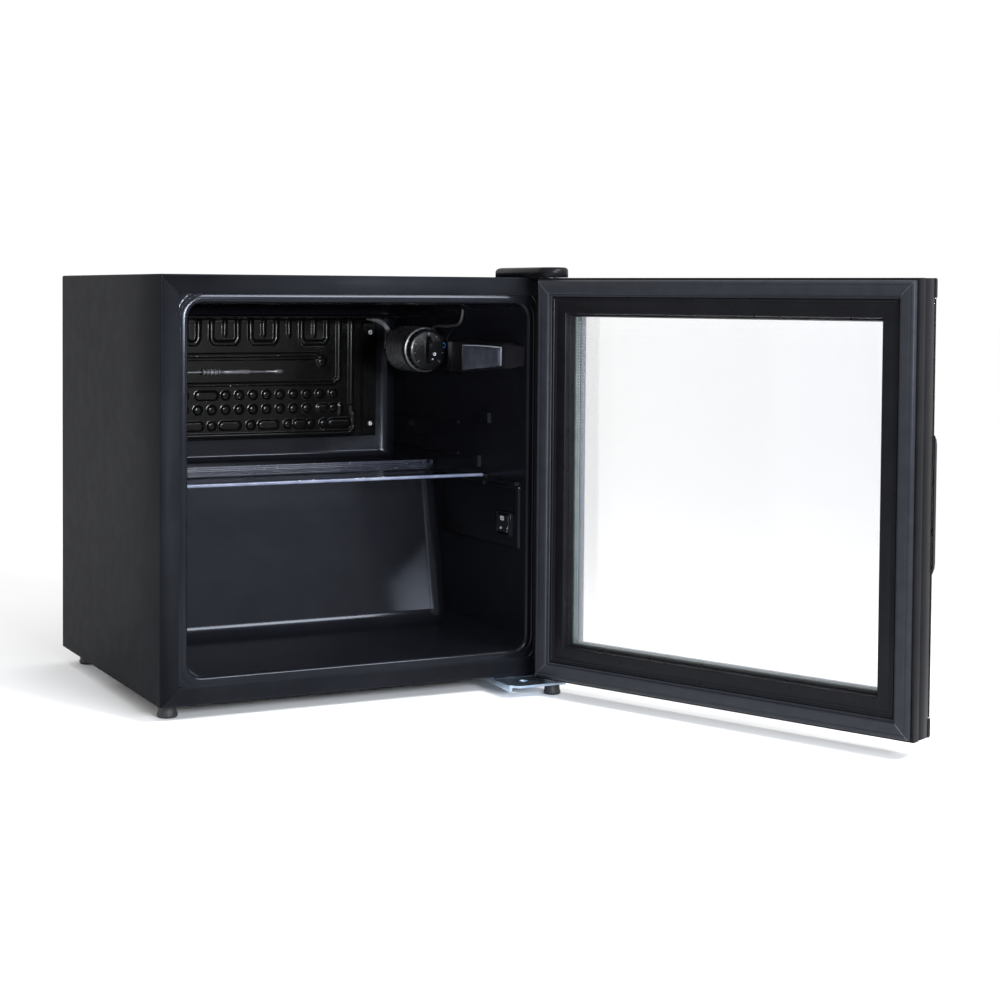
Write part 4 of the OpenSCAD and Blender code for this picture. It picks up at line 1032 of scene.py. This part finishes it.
# end caps along the top and bottom of the outer pane
for nm, za, zb, node in (("door_cap_top", dz1 - 20, dz1, "door_top_cap"), ("door_cap_bottom", dz0, dz0 + 20, "door_bottom_cap")):
    bm = new_bm()
    top = node.endswith("top_cap")
    if top:
        prof_c = [(34.05, za), (37.3, za)] + arc(37.3, za + 1.2, 1.2, -90, 0, 4) + arc(36.0, zb - 2.5, 2.5, 0, 90, 5) + [(34.05, zb)]
    else:
        prof_c = [(34.05, za), (36.0, za)] + arc(36.0, za + 2.5, 2.5, -90, 0, 5) + arc(37.3, zb - 1.2, 1.2, 0, 90, 4) + [(34.05, zb)]
    add_prism(bm, prof_c, lambda u, v, t: door_row((t, FY - u, v)), -HW + 0.05, HW - 0.05)
    bmesh.ops.recalc_face_normals(bm, faces=bm.faces)
    o = finish_mesh(nm, bm, "gloss_trim", "door", (node,), angle=35)
    add_mods(o, 0.6, 2, 60)

# grip: a slim pull lip on the outer pane near the free edge, hollowed towards the edge
bm = new_bm()
gz0, gz1 = 240 - 71, 240 + 71
NS = 28
cols = []
for k in range(NS + 1):
    z = gz0 + (gz1 - gz0) * k / NS
    e = min(z - gz0, gz1 - z)
    f = sm(e / 7)
    d = 37.6 + 6.6 * (0.12 + 0.88 * f)
    w = 20
    cup = 1.1 * sm((e - 8) / 14)
    pts = [(-HW + 0.0, 37.55), (-HW + 0.0, d - 1.6), (-HW + 0.5, d - 0.5), (-HW + 1.6, d), (-HW + 5, d - cup * 0.7), (-HW + 9, d - cup), (-HW + 13, d - cup * 0.7), (-HW + w - 2.6, d),
           (-HW + w - 1.0, d - 0.5), (-HW + w - 0.3, d - 1.6), (-HW + w - 2.5, 38.4), (-HW + w - 3.0, 37.55)]
    cols.append([bm.verts.new(door_row((x, FY - u, z))) for x, u in pts])
for A, B in zip(cols, cols[1:]):
    m_ = len(A)
    for i in range(m_):
        bm.faces.new([A[i], A[(i + 1) % m_], B[(i + 1) % m_], B[i]])
bm.faces.new(cols[0])
bm.faces.new(cols[-1][::-1])
bmesh.ops.recalc_face_normals(bm, faces=bm.faces)
finish_mesh("door_grip", bm, "gloss_trim", "door", ("door_handle",), angle=45)

# ------------------------------------------------------------------ hinge cover: domed cap with a rolled edge and a chamfered tail
bm = new_bm()
hc_lo, hc_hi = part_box("top_hinge_cover")
cx = (hc_lo.x + hc_hi.x) / 2 / MM
wr = (hc_hi.x - hc_lo.x) / 2 / MM - 0.05
yf, yr = (hc_lo.y - OY) / MM + 0.05, (hc_hi.y - OY) / MM - 0.05
zt = (hc_hi.z - OZ) / MM


def cover_ring(inset, z, rear_in=0.0):
    r = wr - inset
    yc = yf + wr
    pts = []
    for k in range(25):
        a = math.radians(180 + 180 * k / 24)
        pts.append((cx + r * math.cos(a), yc + r * math.sin(a), z))
    ye = yr - inset * 0.6 - rear_in
    rc = 3.0
    pts += [(cx + r, ye - rc, z)] + [(cx + r - rc + rc * math.cos(math.radians(a)), ye - rc + rc * math.sin(math.radians(a)), z) for a in (30, 60, 90)]
    pts += [(cx - r + rc - rc * math.sin(math.radians(a)), ye - rc + rc * math.cos(math.radians(a)), z) for a in (0, 30, 60)] + [(cx - r, ye - rc, z)]
    return pts


layers = [(0.0, CH + 0.15, 0), (0.0, zt - 5.0, 0), (0.12, zt - 3.8, 0.6), (0.5, zt - 2.4, 1.8), (1.2, zt - 1.3, 3.2), (2.3, zt - 0.5, 4.8), (3.8, zt - 0.1, 6.6), (6.0, zt, 9.0)]
rings = [[bm.verts.new(row(p)) for p in cover_ring(*l)] for l in layers]
n = len(rings[0])
for A, B in zip(rings, rings[1:]):
    for k in range(n):
        bm.faces.new([A[k], A[(k + 1) % n], B[(k + 1) % n], B[k]])
bm.faces.new(rings[-1])
bmesh.ops.recalc_face_normals(bm, faces=bm.faces)
o = finish_mesh("hinge_cap", bm, "gloss_trim", "cabinet", ("top_hinge_cover",), angle=50)
o.modifiers.new("thick", "SOLIDIFY").thickness = 0.0015
o.modifiers["thick"].offset = -1

# ------------------------------------------------------------------ light switch: dark rocker with a pale printed mark, bezel and cover
bm = new_bm()
LP = joints["lamp_switch_rock"]["pos_m"]
sx_, sz_ = LP[0] / MM, (LP[2] - OZ) / MM
ca, sa = math.cos(math.radians(7)), math.sin(math.radians(7))


def rock(u, v, y):
    # tilt of the stored rocker about its pivot
    return row((sx_ + u * ca + v * sa, y, sz_ - u * sa + v * ca))


prof_r = [(-5.2, -10.3), (-4.7, -6), (-3.7, -1.5), (-3.6, 0), (-3.7, 1.5), (-4.7, 6), (-5.2, 10.3), (0.4, 10.4), (1.8, 3), (1.8, -3), (0.4, -10.4)]
add_prism(bm, prof_r, lambda u, v, t: rock(u, v, t), 30.4, 59.6)
bmesh.ops.recalc_face_normals(bm, faces=bm.faces)
o = finish_mesh("switch_rocker", bm, "rocker", "lamp_switch", ("light_switch_rocker",), angle=35)
add_mods(o, 0.7, 3, 30)
bm = new_bm()
for (ya, yb, va, vb) in ((41, 50, 3.6, 5.2), (41, 50, 6.6, 8.4), (41, 43.2, 5.2, 6.6), (46.8, 50, 5.2, 6.6), (44, 48, -6.8, -4.6)):
    def on_face(v):
        return -3.7 - (abs(v) - 1.5) * (1.0 / 4.5) if abs(v) < 6 else -4.7 - (abs(v) - 6) * 0.5 / 4.3
    q = [rock(on_face(v) - 0.12, v, y) for y, v in ((ya, va), (yb, va), (yb, vb), (ya, vb))]
    bm.faces.new([bm.verts.new(p) for p in q])
finish_mesh("switch_mark", bm, "mark_white", "lamp_switch", flat=True)

bm = new_bm()
sc = [(14.3, 0.35), (15.2, 3.2), (17.0, 4.0), (19.5, 4.1), (22, 3.5), (203, 3.5), (205.5, 2.6), (206, 0.3)]
cols = []
for z, k in ((148.2, 0.0), (148.8, 0.75), (150.2, 1.0), (219.8, 1.0), (221.6, 0.8), (222.5, 0.0)):
    cols.append([bm.verts.new(row((half_w(y) - 0.1 - d * (0.25 + 0.75 * k), y, z))) for y, d in sc])
for A, B in zip(cols, cols[1:]):
    for i in range(len(A) - 1):
        bm.faces.new([A[i], A[i + 1], B[i + 1], B[i]])
bmesh.ops.recalc_face_normals(bm, faces=bm.faces)
finish_mesh("switch_panel", bm, "liner", "cabinet", ("switch_cover",), angle=40)
bm = new_bm()
for (ya, yb, za, zb, d) in ((26.2, 30.0, sz_ - 14.2, sz_ + 14.2, 7.6), (60.0, 63.4, sz_ - 14.2, sz_ + 14.2, 6.4), (30, 60, sz_ + 12.2, sz_ + 14.2, 6.6), (30, 60, sz_ - 14.2, sz_ - 12.2, 6.6)):
    add_prism(bm, [(ya, za), (yb, za), (yb, zb), (ya, zb)], lambda u, v, t: row((half_w(u) - t, u, v)), 3.0, d)
bmesh.ops.recalc_face_normals(bm, faces=bm.faces)
o = finish_mesh("switch_bezel", bm, "liner", "cabinet", angle=40)
add_mods(o, 0.6, 2)

# ------------------------------------------------------------------ feet: ribbed levelling feet
def foot(name, node, body, cxm, cym, r, ztop, grooves=True):
    bm_ = new_bm()
    z0 = -20.0
    pr = [(0, z0), (r - 2.2, z0), (r - 0.8, z0 + 0.5), (r, z0 + 1.6), (r, z0 + 4.4), (r - 0.7, z0 + 5.0), (r - 0.9, z0 + 6.0), (r - 1.3, ztop - 1.0), (r - 2.0, ztop), (0, ztop)]
    nn = 96
    rings_ = []
    for rad, z in pr:
        if rad == 0:
            rings_.append([bm_.verts.new(row((cxm, cym, z)))])
            continue
        flute = 0.35 if z0 + 1.5 < z < z0 + 4.6 else 0.0
        rings_.append([bm_.verts.new(row((cxm + (rad - flute * (0.5 - 0.5 * math.cos(24 * 2 * math.pi * k / nn))) * math.cos(2 * math.pi * k / nn),
                                          cym + (rad - flute * (0.5 - 0.5 * math.cos(24 * 2 * math.pi * k / nn))) * math.sin(2 * math.pi * k / nn), z))) for k in range(nn)])
    for A, B in zip(rings_, rings_[1:]):
        for k in range(nn):
            k2 = (k + 1) % nn
            if len(A) == 1:
                bm_.faces.new([A[0], B[k2], B[k]])
            elif len(B) == 1:
                bm_.faces.new([A[k], A[k2], B[0]])
            else:
                bm_.faces.new([A[k], A[k2], B[k2], B[k]])
    if body != "cabinet" and name.startswith("foot_left"):
        add_lathe(bm_, [(3, ztop - 0.2)] + [(3 - 0.35 * (i % 2), ztop + 0.8 * i) for i in range(1, 19)] + [(0, ztop + 15.5)], lambda a, b, t: row((cxm + a, cym + b, t)), 20)
    bmesh.ops.recalc_face_normals(bm_, faces=bm_.faces)
    finish_mesh(name, bm_, "rubber", body, node, angle=40)


foot("foot_left", ("front_left_foot",), "left_levelling_foot", -HW + 22, 42, 11.5, -0.6)
foot("foot_bracket", ("bracket_foot",), "right_levelling_foot", PX, PY, 10.0, -6.4)
foot("foot_rear_left", ("rear_feet",), "cabinet", -(HW - 27), CD - 25, 12.0, -0.05)
foot("foot_rear_right", (), "cabinet", HW - 27, CD - 25, 12.0, -0.05)

# ------------------------------------------------------------------ underside: pressed beads in the base
bm = new_bm()
for x in (-140, -70, 0, 70, 140):
    pts = stadium(-80, 80, 0, 5.0, 6)
    cols = []
    for q, h in ((0.0, 0.0), (1.2, 0.9), (2.6, 1.1)):
        f = (5.0 - q) / 5.0
        cols.append([bm.verts.new(row((x + v * f, 122 + u, -0.05 - h))) for u, v in pts])
    for A, B in zip(cols, cols[1:]):
        for i in range(len(A)):
            bm.faces.new([A[i], A[(i + 1) % len(A)], B[(i + 1) % len(A)], B[i]])
    bm.faces.new(cols[-1])
bmesh.ops.recalc_face_normals(bm, faces=bm.faces)
finish_mesh("base_beads", bm, "paint", "cabinet", angle=50)

# ------------------------------------------------------------------ stage, lights and camera
bpy.ops.mesh.primitive_plane_add(size=40, location=(0, 0, 0))
floor = bpy.context.object
floor.name = "studio_floor"
fm, nt, b = new_mat("floor_white")
f = noise(nt, coords(nt), 2.0, 2)
nt.links.new(ramp(nt, f, [(0.3, (0.975, 0.975, 0.975)), (0.7, (0.985, 0.985, 0.985))]), b.inputs["Base Color"])
b.inputs["Roughness"].default_value = 0.9
b.inputs["Specular IOR Level"].default_value = 0.0
floor.data.materials.append(fm)

world = bpy.data.worlds.new("studio")
bpy.context.scene.world = world
world.use_nodes = True
bg = world.node_tree.nodes["Background"]
bg.inputs["Color"].default_value = (1, 1, 1, 1)
bg.inputs["Strength"].default_value = 1.03
bpy.context.scene.view_settings.view_transform = "Standard"


def area(name, loc, target, size, energy, color=(1, 1, 1), spread=180):
    d = bpy.data.lights.new(name, "AREA")
    d.shape = "RECTANGLE"
    d.size, d.size_y = size
    d.energy = energy
    d.color = color
    d.spread = math.radians(spread)
    o = bpy.data.objects.new(name, d)
    bpy.context.scene.collection.objects.link(o)
    o.location = loc
    o.rotation_mode = "QUATERNION"
    o.rotation_quaternion = (Vector(target) - Vector(loc)).to_track_quat("-Z", "Y")
    return o


area("key_front", (0.62, -1.5, 1.2), (-0.02, 0.0, 0.14), (0.8, 0.45), 8.5, (0.96, 0.98, 1.0), 70)
area("fill_low", (0.0, -1.9, 0.58), (-0.12, 0.03, 0.12), (0.62, 0.28), 7.5, (0.88, 0.93, 1.0), 80)
area("kicker", (0.12, -1.6, 0.5), (-0.05, 0.15, 0.36), (0.14, 0.14), 0.7, (1, 1, 1), 30)

cam_d = bpy.data.cameras.new("camera")
cam = bpy.data.objects.new("camera", cam_d)
bpy.context.scene.collection.objects.link(cam)
yaw, pitch, roll = 0.454085, 0.0384521, 0.00642053
fw = Vector((math.sin(yaw) * math.cos(pitch), math.cos(yaw) * math.cos(pitch), -math.sin(pitch)))
rt = Vector((math.cos(yaw), -math.sin(yaw), 0))
up = rt.cross(fw)
r2 = rt * math.cos(roll) + up * math.sin(roll)
u2 = -rt * math.sin(roll) + up * math.cos(roll)
mat = Matrix((r2, u2, -fw)).transposed().to_4x4()
mat.translation = Vector((-0.87676, -2.16648, 0.47317))
cam.matrix_world = mat
cam_d.sensor_width = 36
cam_d.lens = 1896.63 * 36 / 1000
cam_d.shift_x = (500 - 430.97) / 1000
cam_d.shift_y = (365.81 - 500) / 1000
cam_d.clip_start = 0.05
cam_d.clip_end = 100
bpy.context.scene.camera = cam
